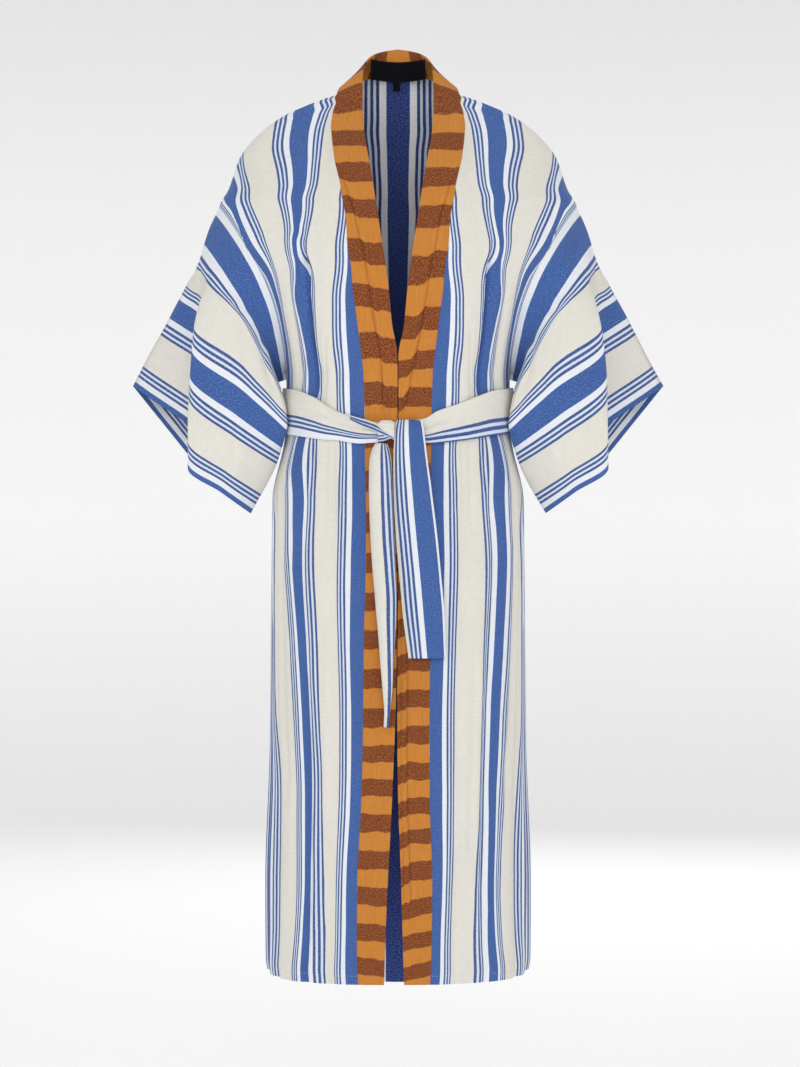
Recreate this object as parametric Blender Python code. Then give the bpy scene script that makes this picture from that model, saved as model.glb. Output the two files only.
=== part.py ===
"""Long striped robe with wide sleeves, a collar band and a knotted belt, worn on an unseen figure.

Metres, Z up, front towards -Y. The origin is on the body's axis at shoulder height.
Every cloth piece is a grid of points on its middle surface, thickened both ways.
Tables are in millimetres; c is the distance across the cloth from its centre stripe,
s runs down a panel: 0 at its top edge, 1 at the waist, 2 at the hem.
"""

import math

import bmesh
import bpy
import numpy as np

MM = 0.001
CLOTH = 2.0
DOUBLED = 3.0
LABEL = 0.6
SEAM_GAP = 0.34
WAIST_Z = -429.0
HEM_Z = -1150.0
BACK_DROP = 32.0
NECK_C = 100.0
SIDE_C = 345.0
UNDERARM_S = 0.79
ARMHOLE_STEPS = 12
WAIST_STEPS = 3
SKIRT_STEPS = 13
FRONT_STEPS = 20
SLEEVE_STEPS = 12
BELT_STEPS = 52
SWAY = 5.0
MITRE_LEAST = 0.6
FOLD_RISE = 0.14
FOLD_FALL = 0.1
BAND_SHARES = (0.0, 0.3, 0.62, 1.0)
BAND_BULGE = (0.0, 2.5, 1.0, 0.0)
STRAP_STEPS = 22
STRAP_COLUMNS = 9
KNOT_SIDES = 14
KNOT_RINGS = 9
KNOT_LUMPS = 0.10
PATCH_COLUMNS = 7

# The worn form: half width, depth to the front, depth to the back and roundness at each height.
FORM_WIDTH = [
    (40, 64), (37, 66.6), (27, 73.7), (16, 78.3), (6.6, 80.5), (2, 94), (-9, 122.8), (-22.4, 151.8),
    (-48.8, 186), (-75.2, 207.2), (-118.8, 223.1), (-142, 235), (-190, 226), (-242, 190), (-285.5, 168),
    (-343, 150), (-368, 146.5), (-429, 146.5), (-455, 150), (-528, 165), (-607, 166), (-850, 168.5),
    (-1030, 174.5), (-1130, 174), (-1150, 171),
]
FORM_FRONT = [
    (40, 3), (6.6, 4), (-9, 12), (-22.4, 24), (-40, 38), (-66, 58), (-106, 85), (-132, 97), (-172, 112),
    (-211, 121), (-251, 125), (-304, 123), (-376, 112), (-429, 105), (-455, 105), (-530, 112),
    (-607, 120), (-800, 125), (-1000, 132), (-1150, 135),
]
FORM_BACK = [
    (40, 66), (16, 78), (6.6, 81), (-9, 86), (-40, 96), (-80, 106), (-150, 115), (-214, 115),
    (-304, 108), (-429, 100), (-455, 102), (-530, 126), (-607, 140), (-800, 140), (-1150, 140),
]
FORM_ROUND = [(40, 2.2), (6.6, 2.2), (-9, 1.8), (-30, 1.7), (-80, 1.9), (-150, 2.2), (-300, 2.3), (-1150, 2.3)]

# Where each line of the cloth starts at the top: c, height.
TOP_EDGE = [
    (0, 40), (25, 38), (50, 32), (75, 21.5), (100, 6.6), (115, 2), (151, -9), (186, -22.4), (226, -48.8),
    (266, -75.2), (302, -118.8), (345, -142),
]

# Half width of the armhole edge on its way down: height, x.
ARMHOLE = [(-142, 235), (-165, 218.5), (-199, 197), (-242, 174), (-285.5, 159), (-343, 148.5), (-368.7, 146.5)]

# Where the front is cut back to the band's seam: s, c.
SEAM_LINE = [
    (0, 100), (0.03, 96), (0.08, 88), (0.2, 67), (0.35, 36), (0.5, 12), (0.7, -8), (0.85, -15), (1, -16), (2, -16),
]

# Front: x of the cloth's lines at each s, from the line next to the band outwards.
FRONT_C = [-16, 0, 35, 75, 100, 115, 151, 186, 226, 266, 302]
FRONT_X = [
    (0.03, (40, 48, 63, 80, 82, 92, 125, 154, 187, 206, 220)),
    (0.08, (40, 49, 65, 83, 90, 100, 128, 157, 184, 202.5, 215)),
    (0.2, (42, 51, 67, 87, 97, 106, 127, 150, 176, 195, 204)),
    (0.35, (45, 54, 70, 94, 105, 114, 130, 144, 161, 173, 174)),
    (0.5, (48, 57, 74.5, 99, 110, 117, 130, 138, 148, 155, 154.5)),
    (0.65, (49, 58, 79, 98.5, 106, 111, 122, 131, 139, 144.5, 145.5)),
    (0.79, (46, 54.5, 77, 95.5, 101, 105, 114, 123, 132, 138, 141.5)),
    (0.9, (43.5, 52, 74.5, 92, 98, 102, 112, 122, 132, 139, 143)),
    (1.0, (42.5, 51, 72.5, 90, 101, 108, 122, 132, 140, 144, 145.6)),
    (1.04, (42.5, 50.5, 71, 88, 101, 109, 127, 136, 142.5, 146.5, 148.5)),
    (1.14, (41, 49, 73, 91, 105, 113, 131, 146, 156, 161, 163.8)),
    (1.25, (41, 50, 74, 94, 108, 117, 134, 148, 157, 162, 164.8)),
    (1.4, (42.5, 51, 71.5, 90, 103, 111, 128, 145, 156, 161.5, 164.6)),
    (1.54, (42.5, 49.5, 69, 88, 101, 108, 123.5, 140, 153, 161, 165)),
    (1.68, (44, 50, 69, 87, 99, 106, 119, 134, 148, 160, 166)),
    (1.82, (48, 54, 70, 87, 98, 105, 118, 132, 147, 161, 169.5)),
    (1.91, (48, 53, 70, 86.5, 99, 107, 120.5, 134, 148, 161, 169)),
    (2.0, (46, 51.5, 69, 86, 100, 109, 123, 136, 149.5, 160, 167)),
]

# Back: x of the cloth's lines at each s.
BACK_C = [0, 50, 100, 151, 186, 226, 266, 302]
BACK_X = [
    (0.03, (0, 52, 84, 125, 154, 187, 206, 220)),
    (0.08, (0, 49, 91, 131, 159, 187, 204, 215)),
    (0.2, (0, 47, 92, 132, 156, 178, 194, 202)),
    (0.35, (0, 45, 89, 129, 150, 169, 176, 174)),
    (0.5, (0, 42, 80, 114, 131, 146, 155, 154.5)),
    (0.65, (0, 38, 73, 103, 119, 133, 142, 145.5)),
    (0.79, (0, 34, 67, 95, 111, 126, 136, 141.5)),
    (1.0, (0, 32, 64, 92, 109, 125, 136, 142.5)),
    (1.14, (0, 36, 71, 103, 122, 141, 154, 161.5)),
    (2.0, (0, 37, 73, 106, 127, 146, 160, 168)),
]

# Soft folds of the body: panel, c, half width across the cloth, s from, s to, depth inwards.
FOLDS = [
    ("front", 131, 13, 0.44, 0.98, 9.0),
    ("front", 212, 15, 0.50, 0.92, 4.0),
    ("front", 96, 12, 0.76, 1.00, 2.5),
    ("front", 55, 12, 1.05, 2.10, 2.2),
    ("front", 133, 13, 1.03, 2.10, 4.5),
    ("front", 206, 14, 1.03, 1.70, 4.5),
    ("front", 250, 15, 1.10, 2.10, 5.5),
    ("front", 318, 14, 1.02, 2.10, 6.0),
    ("back", 0, 16, 0.62, 1.30, 4.0),
    ("back", 62, 15, 0.45, 1.02, 3.5),
    ("back", 74, 15, 1.02, 2.10, 7.0),
    ("back", 138, 15, 0.55, 2.10, 7.0),
    ("back", 205, 15, 0.40, 1.02, 5.0),
    ("back", 214, 16, 1.02, 2.10, 8.0),
    ("back", 282, 15, 1.02, 2.10, 7.0),
]

# Sleeve rings at a distance along the cloth from the armhole; x is outwards from the body's axis.
# Front, from the top fold: fold, valley, front edge, belly, inner edge, underarm seam.
RING_W = [0, 0.2, 0.36, 0.58, 0.84, 1.0]
RING_FRONT = [
    (26, ((248, 2, -170), (226, -34, -197), (204, -57, -236), (179, -55, -291), (164, -29, -350), (158, 2, -372))),
    (61, ((262.7, 5, -215), (255, -18, -226), (240, -46, -245), (203, -68, -290), (153, -54, -384), (166, 0, -380))),
    (141, ((283.4, 35, -248), (248, -10, -283), (267, -52, -313), (205, -66, -362), (144, -53, -424), (164, -8, -416))),
    (212, ((312.3, 50, -300), (248, -8, -352), (272, -56, -386), (212, -68, -438), (157, -36, -474), (174, -4, -467))),
    (320, ((354.5, 60, -375), (249, -8, -457), (273.6, -60, -487), (231, -64, -518), (194, -31, -545), (203, 0, -534))),
]
# Back, from the underarm seam up: lower belly, upper belly.
RING_BACK_W = [0, 0.33, 0.7, 1.0]
RING_BACK = [
    (26, ((174, 47, -313), (214, 60, -219))),
    (61, ((190, 72, -330), (242, 68, -250))),
    (141, ((198, 72, -378), (254, 82, -300))),
    (212, ((214, 68, -430), (276, 88, -355))),
    (320, ((250, 66, -500), (313, 92, -428))),
]

# Free edge of the band in front: height, x, behind the form by.
BAND_FREE = [
    (6.6, 47, -2), (-13, 47, 2), (-40, 45, 5), (-106, 34.5, 8), (-172, 24.5, 8), (-251, 12.8, 5), (-304, 7.6, 2),
    (-345, 0.6, 0), (-400, 0.6, 0),
]
# Below the waist: height, x of the free edge on the wearer's right, on the wearer's left.
BAND_FREE_LOW = [(-429, 0.6, 0.6), (-760, 0.6, 0.6), (-900, 4.0, 3.0), (-1030, 9.5, 8.5), (-1150, 13.0, 13.0)]
# Free edge of the band round the neck: c of the neck edge under it, x, y, z.
BAND_NECK = [(100, 47, -4, 18), (75, 46, 14, 42), (50, 37, 44, 62), (25, 20, 63, 72.5), (0, 0.0, 71, 76.5)]

# Belt: share of the way round from the knot to the centre back, height of its middle, its width there.
BELT_RIGHT = [
    (0, -442, 26), (0.038, -440, 32), (0.1, -434, 36), (0.157, -427.5, 46), (0.2, -422, 53),
    (0.304, -414.5, 59), (0.6, -408, 59), (1, -406, 59),
]
BELT_LEFT = [
    (0, -441.5, 25), (0.066, -440, 32), (0.1, -435, 41), (0.148, -430, 46), (0.22, -422.5, 53),
    (0.304, -415.5, 58), (0.6, -408, 59), (1, -406, 59),
]
BELT_OFF = 4.3
BELT_ROUND = 2.3
KNOT_FROM = -25.5
KNOT_TO = -4.0
# Knot: x, height of its middle, half height, y of its middle, half thickness.
KNOT = [
    (-25.2, -442, 12.5, -110.9, 2.2),
    (-20, -440, 15.0, -114.0, 5.0),
    (-13, -438.5, 15.0, -116.3, 7.4),
    (-8, -438.5, 13.0, -116.3, 7.4),
    (-4.3, -440, 10.0, -114.5, 5.0),
]
# Flat end: way down, x of its middle, y of its middle, half width seen, how far its edges bend back.
END_LEFT = [
    (-426.5, 14.6, -113.8, 15.6, 1.0),
    (-430, 14.8, -117.5, 16.5, 2.5),
    (-440, 14.8, -122.5, 18.2, 5),
    (-470, 15.6, -126.5, 20.8, 7),
    (-520, 19.0, -129.0, 24.0, 7),
    (-590, 25.2, -131.2, 26.2, 6),
    (-665, 32.0, -131.7, 26.4, 5),
    (-732, 37.4, -131.7, 23.6, 4),
]
# Narrow end, folded along its length: way down, x, y of its front, half width seen, depth of the fold.
END_RIGHT = [
    (-456.7, -21.8, -120.5, 6.3, 8),
    (-464, -22.8, -125, 9.5, 11),
    (-480, -23.0, -130, 13.0, 15),
    (-512, -22.6, -134, 14.0, 17.5),
    (-560, -20.8, -139, 14.2, 18.5),
    (-610, -18.2, -143.5, 13.8, 19.5),
    (-657, -15.4, -147, 12.6, 20.5),
    (-700, -14.4, -149.6, 10.0, 21.8),
    (-740, -13.9, -152, 7.5, 23),
    (-772, -13.4, -153.7, 5.3, 24.2),
    (-797, -13.6, -155, 3.0, 24.7),
    (-819, -15.0, -156, 2.0, 25),
]
# Neck label and size tab: middle x, top z, width, height, y at the top, y at the bottom, bow.
LABEL_PLACE = (0.0, 58.5, 72.0, 27.0, 63.0, 60.6, 30.0)
TAB_PLACE = (-2.0, 31.1, 9.5, 12.0, 60.5, 58.9, 0.3)

COLOURS = {
    "cream": (0.76, 0.73, 0.64, 1.0),
    "blue": (0.05, 0.12, 0.42, 1.0),
    "orange": (0.62, 0.24, 0.04, 1.0),
    "black": (0.01, 0.01, 0.01, 1.0),
}


def smooth(xs, ys, x):
    """Values at x on a curve through the points that doesn't overshoot them; ys may hold vectors."""
    xs = np.asarray(xs, float)
    ys = np.asarray(ys, float)
    x = np.clip(np.asarray(x, float), xs[0], xs[-1])
    width = np.diff(xs)
    shape = (len(width),) + (1,) * (ys.ndim - 1)
    rise = np.diff(ys, axis=0) / width.reshape(shape)
    slope = np.empty_like(ys)
    slope[0] = rise[0]
    slope[-1] = rise[-1]
    before, after = rise[:-1], rise[1:]
    same = before * after > 0
    wide = (2 * width[1:] + width[:-1]).reshape((-1,) + shape[1:])
    narrow = (width[1:] + 2 * width[:-1]).reshape((-1,) + shape[1:])
    share = wide / np.where(same, before, 1) + narrow / np.where(same, after, 1)
    slope[1:-1] = np.where(same, (wide + narrow) / np.where(same, share, 1), 0)
    i = np.clip(np.searchsorted(xs, x, side="right") - 1, 0, len(width) - 1)
    t = (x - xs[i]) / width[i]
    t = t.reshape(t.shape + (1,) * (ys.ndim - 1))
    w = width[i].reshape(t.shape)
    return (
        (1 + 2 * t) * (1 - t) ** 2 * ys[i]
        + t * (1 - t) ** 2 * w * slope[i]
        + t**2 * (3 - 2 * t) * ys[i + 1]
        + t**2 * (t - 1) * w * slope[i + 1]
    )


def at_height(table, z):
    rows = sorted(table)
    return smooth([row[0] for row in rows], [row[1:] for row in rows], z)[..., 0]


def column(table, x):
    return smooth([row[0] for row in table], [row[1] for row in table], x)


def height_of(c, s):
    """Height on a panel, from the line's own top edge down to the hem."""
    c = np.abs(c)
    top = column(TOP_EDGE, np.maximum(c, 0))
    upper = top + np.minimum(s, 1) * (WAIST_Z - top)
    hem = HEM_Z + 5.0 * (c / SIDE_C) ** 4
    return np.where(s <= 1, upper, WAIST_Z + (s - 1) * (hem - WAIST_Z))


def back_height(c, s):
    """The back's hem hangs lower in its middle and meets the front's at the side seam."""
    return height_of(c, s) - BACK_DROP * np.maximum(s - 1, 0) * (1 - (c / SIDE_C) ** 2) ** 2


def front_height(c, s):
    """The front's lines that the neck cuts off all count from the neck's height."""
    return height_of(np.maximum(c, np.where(s <= 1, NECK_C, 0)), s)


def width_at(z):
    return at_height(FORM_WIDTH, z)


def make_shares(columns, rows, height):
    """Share of the form's half width for each line, as angles: (s values, c values, angles)."""
    cs = np.array(list(columns) + [SIDE_C], float)
    s_values = [0.0]
    # The neck edge is round seen from above; the rest of the top edge is the ridge itself.
    angles = [np.clip(cs / NECK_C, -0.2, 1) * math.pi / 2]
    for s, xs in rows:
        z = height(cs, np.full(len(cs), s))
        side = at_height(ARMHOLE, z[-1]) if s < UNDERARM_S else width_at(z[-1])
        share = np.clip(np.append(np.array(xs, float), side) / width_at(z), -1, 1)
        s_values.append(s)
        angles.append(np.arcsin(share))
    return np.array(s_values), cs, np.array(angles)


SHARES = {
    "front": make_shares(FRONT_C, FRONT_X, front_height),
    "back": make_shares(BACK_C, BACK_X, back_height),
}


def rise_and_fall(s, low, high):
    """0 outside low to high, 1 well inside."""
    up = np.clip((s - low) / FOLD_RISE, 0, 1)
    down = np.clip((high - s) / FOLD_FALL, 0, 1)
    return up * up * (3 - 2 * up) * down * down * (3 - 2 * down)


def form_point(panel, share, z):
    """(x, y) on the worn form for a share of its half width."""
    round_ = at_height(FORM_ROUND, z)
    depth = -at_height(FORM_FRONT, z) if panel == "front" else at_height(FORM_BACK, z)
    share = np.clip(share, -1, 1)
    return width_at(z) * share, depth * np.maximum(1 - np.abs(share) ** round_, 0) ** (1 / round_)


def body(panel, c, s):
    """Points on the front or back panel, x outwards on either side, in millimetres."""
    c = np.asarray(c, float)
    s = np.asarray(s, float)
    c, s = np.broadcast_arrays(c, s)
    shape = c.shape
    c = c.reshape(-1)
    s = s.reshape(-1)
    s_values, cs, angles = SHARES[panel]
    side = np.where(c < 0, -1.0, 1.0) if panel == "back" else np.ones(len(c))
    reach = np.abs(c) if panel == "back" else c
    by_row = np.sin(smooth(cs, angles.T, reach))
    share = np.array([smooth(s_values, by_row[i], s[i]) for i in range(len(c))])
    share = np.where((s <= 0) & (reach >= NECK_C), 1.0, share)
    z = back_height(reach, s) if panel == "back" else front_height(reach, s)
    armhole = (reach >= SIDE_C - 1e-6) & (s < UNDERARM_S)
    share = np.where(armhole, at_height(ARMHOLE, z) / width_at(z), share)
    share = np.where((reach >= SIDE_C - 1e-6) & (s >= UNDERARM_S), 1.0, share)
    x, y = form_point(panel, share, z)
    inwards = np.zeros(len(c))
    for owner, centre, spread, low, high, depth in FOLDS:
        if owner == panel:
            across = np.exp(-(((reach - centre) / spread) ** 2))
            inwards += depth * across * rise_and_fall(s, low, high)
    edge_free = np.clip((SIDE_C - reach) / 12, 0, 1)
    inwards *= edge_free
    away = np.maximum(np.hypot(x, y), 1)
    keep = 1 - inwards / away
    return np.stack([side * x * keep, y * keep, z], axis=-1).reshape(shape + (3,))


def sway(points):
    """The front's middle hangs a little towards the wearer's right near the hem."""
    moved = points.copy()
    fall = np.clip((WAIST_Z - 180 - moved[..., 2]) / 500, 0, 1)
    front = np.clip(-moved[..., 1] / 120, 0, 1) ** 2
    moved[..., 0] -= SWAY * fall * front
    return moved


def mirrored(points, sign):
    out = points.copy()
    out[..., 0] *= sign
    return out


ARM_S = [UNDERARM_S * i / ARMHOLE_STEPS for i in range(ARMHOLE_STEPS + 1)]
ROWS = (
    ARM_S
    + [UNDERARM_S + (1 - UNDERARM_S) * i / WAIST_STEPS for i in range(1, WAIST_STEPS + 1)]
    + [1 + i / SKIRT_STEPS for i in range(1, SKIRT_STEPS + 1)]
)


def front_grid(sign):
    """Rows down the panel, columns from the band's seam to the side seam."""
    s = np.array(ROWS)[:, None]
    seam = column(SEAM_LINE, s)
    u = np.linspace(0, 1, FRONT_STEPS + 1)[None, :]
    c = seam + u * (SIDE_C - seam)
    return sway(mirrored(body("front", c, s), sign))


def back_grid():
    outer = NECK_C + np.linspace(0, 1, FRONT_STEPS + 1) * (SIDE_C - NECK_C)
    inner = np.array([0, 25, 50, 75], float)
    half = np.concatenate([inner, outer])
    c = np.concatenate([-half[:0:-1], half])[None, :]
    return sway(body("back", c, np.array(ROWS)[:, None]))


def armhole_edge(panel):
    return body(panel, np.full(len(ARM_S), SIDE_C), np.array(ARM_S))


def sleeve_grid(sign):
    """Rows round the sleeve from the underarm seam over the front to the same seam, columns to the cuff."""
    w = np.linspace(0, 1, ARMHOLE_STEPS + 1)
    at = [0.0]
    front = [armhole_edge("front")]
    back = [armhole_edge("back")[::-1]]
    for (p, ring), (_, belly) in zip(RING_FRONT, RING_BACK):
        at.append(p)
        front.append(smooth(RING_W, ring, w))
        back.append(smooth(RING_BACK_W, (ring[-1],) + belly + (ring[0],), w))
    along = np.linspace(0, at[-1], SLEEVE_STEPS + 1)
    front = smooth(at, np.array(front), along)
    back = smooth(at, np.array(back), along)
    # From the underarm up the front to the top fold, then down the back.
    loop = np.concatenate([front[:, ::-1], back[:, ::-1][:, 1:]], axis=1)
    return mirrored(loop.transpose(1, 0, 2), sign)


def band_edges(sign):
    """The sewn edge and the free edge of one half of the band, from the hem to the centre back."""
    s = np.array(ROWS)[::-1]
    sewn = body("front", column(SEAM_LINE, s), s)
    z = sewn[:, 2]
    free_rows = sorted(BAND_FREE)
    upper = smooth([r[0] for r in free_rows], [r[1:] for r in free_rows], z)
    low_rows = sorted(BAND_FREE_LOW)
    lower = smooth([r[0] for r in low_rows], [r[1:] for r in low_rows], z)
    x = np.where(z < -400, lower[:, 0 if sign < 0 else 1], upper[:, 0])
    behind = np.where(z < -400, 0, upper[:, 1])
    depth = at_height(FORM_FRONT, z)
    round_ = at_height(FORM_ROUND, z)
    y = -depth * np.maximum(1 - (x / width_at(z)) ** round_, 0) ** (1 / round_) + behind
    free = np.stack([x, y, z], axis=-1)
    # Round the neck the band stands on the back panel's top edge.
    neck_rows = sorted(BAND_NECK)
    rise = smooth([r[0] for r in neck_rows], [r[1:] for r in neck_rows], [75, 50, 25, 0])
    start = smooth([r[0] for r in neck_rows], [r[1:] for r in neck_rows], [NECK_C])
    free[-1] = start[0]
    free[-2] = free[-2] * 0.6 + (free[-3] * 0.5 + start[0] * 0.5) * 0.4
    sewn_neck = body("back", np.array([75, 50, 25, 0]), np.zeros(4))
    sewn = np.concatenate([sewn, sewn_neck])
    free = np.concatenate([free, rise])
    return sway(mirrored(sewn, sign)), sway(mirrored(free, sign))


def band_grid(sign):
    """Three strips across, with the lengthwise crease a little forward of a straight line."""
    sewn, free = band_edges(sign)
    grid = np.stack([sewn * (1 - share) + free * share for share in BAND_SHARES], axis=1)
    fall = np.clip((grid[:, 1, 2] - WAIST_Z) / 120, 0, 1)
    grid[..., 1] -= fall[:, None] * np.array(BAND_BULGE)
    return grid


def belt_grid():
    """Rows from the knot round the wearer's right side and back to the knot, columns from top to bottom."""
    rows = []
    for i in range(BELT_STEPS + 1):
        turn = i / BELT_STEPS
        share_round = 1 - abs(2 * turn - 1)
        sign = -1 if turn < 0.5 else 1
        wrap = BELT_RIGHT if sign < 0 else BELT_LEFT
        middle, width = smooth([r[0] for r in wrap], [r[1:] for r in wrap], share_round)
        start = KNOT_FROM if sign < 0 else KNOT_TO
        points = []
        for j in range(4):
            z = middle + width * (0.5 - j / 3)
            a = width_at(z) + BELT_OFF
            first = math.asin(min(1, abs(start) / a))
            if start * sign < 0:
                first = -first
            angle = first + share_round * (math.pi - first)
            sin, cos = math.sin(angle), math.cos(angle)
            depth = at_height(FORM_FRONT, z) if cos > 0 else at_height(FORM_BACK, z)
            y = -(depth + BELT_OFF) * math.copysign(abs(cos) ** (2 / BELT_ROUND), cos)
            x = a * math.copysign(abs(sin) ** (2 / BELT_ROUND), sin)
            if share_round == 0:
                x = abs(start) * math.copysign(1, start * sign)
            points.append((sign * x, y, z))
        rows.append(points)
    return np.array(rows)


def strap_grid(table, bend):
    """Rows down a hanging end, columns across it; bend gives its cross-section."""
    rows = smooth(np.linspace(0, 1, len(table)), table, np.linspace(0, 1, STRAP_STEPS + 1))
    across = np.linspace(-1, 1, STRAP_COLUMNS)
    grid = []
    for z, x, y, half, depth in rows:
        dx, dy = bend(across, half, depth)
        grid.append(np.stack([x + dx, y + dy, np.full(STRAP_COLUMNS, z)], axis=-1))
    return np.array(grid)


def shallow(r, half, depth):
    return half * r, depth * r * r


def gutter(r, half, depth):
    """A round fold in front with two straight walls behind it."""
    arc = half * math.pi / 2
    way = np.abs(r) * (arc + max(0, depth - half))
    angle = np.minimum(way / half, math.pi / 2)
    return np.sign(r) * half * np.sin(angle), half * (1 - np.cos(angle)) + np.maximum(0, way - arc)


def knot_mesh():
    """Rings round the knot, closed at both ends."""
    rows = smooth(np.linspace(0, 1, len(KNOT)), KNOT, np.linspace(0, 1, KNOT_RINGS))
    rings = []
    for n, (x, z, half, y, thick) in enumerate(rows):
        ring = []
        fade = math.sin(math.pi * n / (KNOT_RINGS - 1))
        for k in range(KNOT_SIDES):
            angle = 2 * math.pi * k / KNOT_SIDES
            cos, sin = math.cos(angle), math.sin(angle)
            lift = 1 + KNOT_LUMPS * math.cos(3 * angle + n * 0.8) * fade
            dy = thick * math.copysign(abs(cos) ** 0.8, cos)
            if dy < 0:
                dy *= lift
            ring.append((x, y + dy, z + half * math.copysign(abs(sin) ** 0.8, sin)))
        rings.append(ring)
    return np.array(rings)


def patch_grid(patch):
    """A small flat piece hung inside the back of the neck."""
    centre_x, top_z, width, height, y_top, y_bottom, bow = patch
    rows = []
    for down in (0.0, 0.5, 1.0):
        z = top_z - height * down
        y = y_top + (y_bottom - y_top) * down
        across = np.linspace(-1, 1, PATCH_COLUMNS)
        rows.append([(centre_x + r * width / 2, y - bow * r * r, z) for r in across])
    return np.array(rows)


def grid_normals(grid):
    down = np.gradient(grid, axis=0)
    across = np.gradient(grid, axis=1)
    normal = np.cross(across, down)
    return normal / np.maximum(np.linalg.norm(normal, axis=-1, keepdims=True), 1e-9)


def key_of(point):
    return tuple(np.round(point / 0.02).astype(int))


def shared_normals(pieces):
    """Normals of every sheet, made common where sheets meet at a seam, and how far each edge draws back."""
    own = {name: grid_normals(grid) * side for name, (grid, side, _, _) in pieces.items()}
    meeting = {}
    for name, (grid, _, _, _) in pieces.items():
        for i, j in rim(grid):
            meeting.setdefault(key_of(grid[i, j]), []).append((name, i, j))
    lift = {name: normal.copy() for name, normal in own.items()}
    back = {name: np.full(grid.shape[:2], SEAM_GAP / 2) for name, (grid, _, _, _) in pieces.items()}
    for users in meeting.values():
        if len(users) < 2:
            continue
        total = sum(own[name][i, j] for name, i, j in users)
        length = np.linalg.norm(total)
        mean = total / max(length, 1e-9)
        least = min(float(own[name][i, j] @ mean) for name, i, j in users)
        for name, i, j in users:
            if least > MITRE_LEAST:
                lift[name][i, j] = mean / float(own[name][i, j] @ mean)
            else:
                slant = math.sqrt(max(0, 1 - least * least)) / max(least, 0.2)
                back[name][i, j] = SEAM_GAP / 2 + slant * CLOTH / 2
    return lift, back


def rim(grid):
    rows, columns = grid.shape[:2]
    found = [(0, j) for j in range(columns)] + [(rows - 1, j) for j in range(columns)]
    found += [(i, 0) for i in range(1, rows - 1)] + [(i, columns - 1) for i in range(1, rows - 1)]
    return found


def drawn_back(grid, distance):
    """The rim moved along the sheet, so that neighbours stay a seam's gap apart."""
    out = grid.copy()
    rows, columns = grid.shape[:2]

    def pull(index, inner):
        step = grid[inner] - grid[index]
        length = np.linalg.norm(step, axis=-1, keepdims=True)
        out[index] += step / np.maximum(length, 1e-9) * distance[index][..., None]

    for row, inner in ((0, 1), (rows - 1, rows - 2)):
        pull((row, slice(None)), (inner, slice(None)))
    for col, inner in ((0, 1), (columns - 1, columns - 2)):
        pull((slice(None), col), (slice(None), inner))
    return out


def make_object(name, points, faces, colour, collection):
    mesh = bpy.data.meshes.new(name)
    mesh.from_pydata([tuple(p) for p in np.asarray(points) * MM], [], faces)
    made = bmesh.new()
    made.from_mesh(mesh)
    bmesh.ops.triangulate(made, faces=made.faces[:], quad_method="SHORT_EDGE")
    bmesh.ops.recalc_face_normals(made, faces=made.faces[:])
    if made.calc_volume(signed=True) < 0:
        bmesh.ops.reverse_faces(made, faces=made.faces[:])
    made.to_mesh(mesh)
    made.free()
    obj = bpy.data.objects.new(name, mesh)
    material = bpy.data.materials.new(name)
    material.use_nodes = True
    shader = material.node_tree.nodes["Principled BSDF"]
    shader.inputs["Base Color"].default_value = COLOURS[colour]
    shader.inputs["Roughness"].default_value = 0.85
    mesh.materials.append(material)
    collection.objects.link(obj)


def sheet_faces(rows, columns):
    """Faces of both skins and of the rim between them."""
    count = rows * columns

    def at(i, j, under=0):
        return under * count + i * columns + j

    faces = []
    for i in range(rows - 1):
        for j in range(columns - 1):
            quad = (at(i, j), at(i, j + 1), at(i + 1, j + 1), at(i + 1, j))
            faces.append(quad)
            faces.append(tuple(v + count for v in reversed(quad)))
    loop = [(0, j) for j in range(columns)]
    loop += [(i, columns - 1) for i in range(1, rows)]
    loop += [(rows - 1, j) for j in range(columns - 2, -1, -1)]
    loop += [(i, 0) for i in range(rows - 2, 0, -1)]
    for (i, j), (k, m) in zip(loop, loop[1:] + loop[:1]):
        faces.append((at(i, j), at(i, j, 1), at(k, m, 1), at(k, m)))
    return faces


def make_knot(collection):
    rings = knot_mesh()
    count, steps = rings.shape[:2]
    points = list(rings.reshape(-1, 3))
    faces = []
    for n in range(count - 1):
        for k in range(steps):
            m = (k + 1) % steps
            faces.append((n * steps + k, n * steps + m, (n + 1) * steps + m, (n + 1) * steps + k))
    faces.append(tuple(range(steps)))
    faces.append(tuple(range(count * steps - 1, (count - 1) * steps - 1, -1)))
    make_object("belt_knot", points, faces, "cream", collection)


def cloth_pieces():
    """Each sheet's grid, which way its outer face lies, its thickness and its colour."""
    return {
        "front_right": (front_grid(-1), 1, CLOTH, "cream"),
        "front_left": (front_grid(1), -1, CLOTH, "cream"),
        "back": (back_grid(), 1, CLOTH, "cream"),
        "sleeve_right": (sleeve_grid(-1), -1, CLOTH, "cream"),
        "sleeve_left": (sleeve_grid(1), 1, CLOTH, "cream"),
        "band_right": (band_grid(-1), 1, DOUBLED, "orange"),
        "band_left": (band_grid(1), -1, DOUBLED, "orange"),
        "belt_waist": (belt_grid(), 1, DOUBLED, "cream"),
        "belt_end_left": (strap_grid(END_LEFT, shallow), 1, DOUBLED, "cream"),
        "belt_end_right": (strap_grid(END_RIGHT, gutter), 1, DOUBLED, "cream"),
        "neck_label": (patch_grid(LABEL_PLACE), 1, LABEL, "black"),
        "size_tab": (patch_grid(TAB_PLACE), 1, LABEL, "black"),
    }


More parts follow.
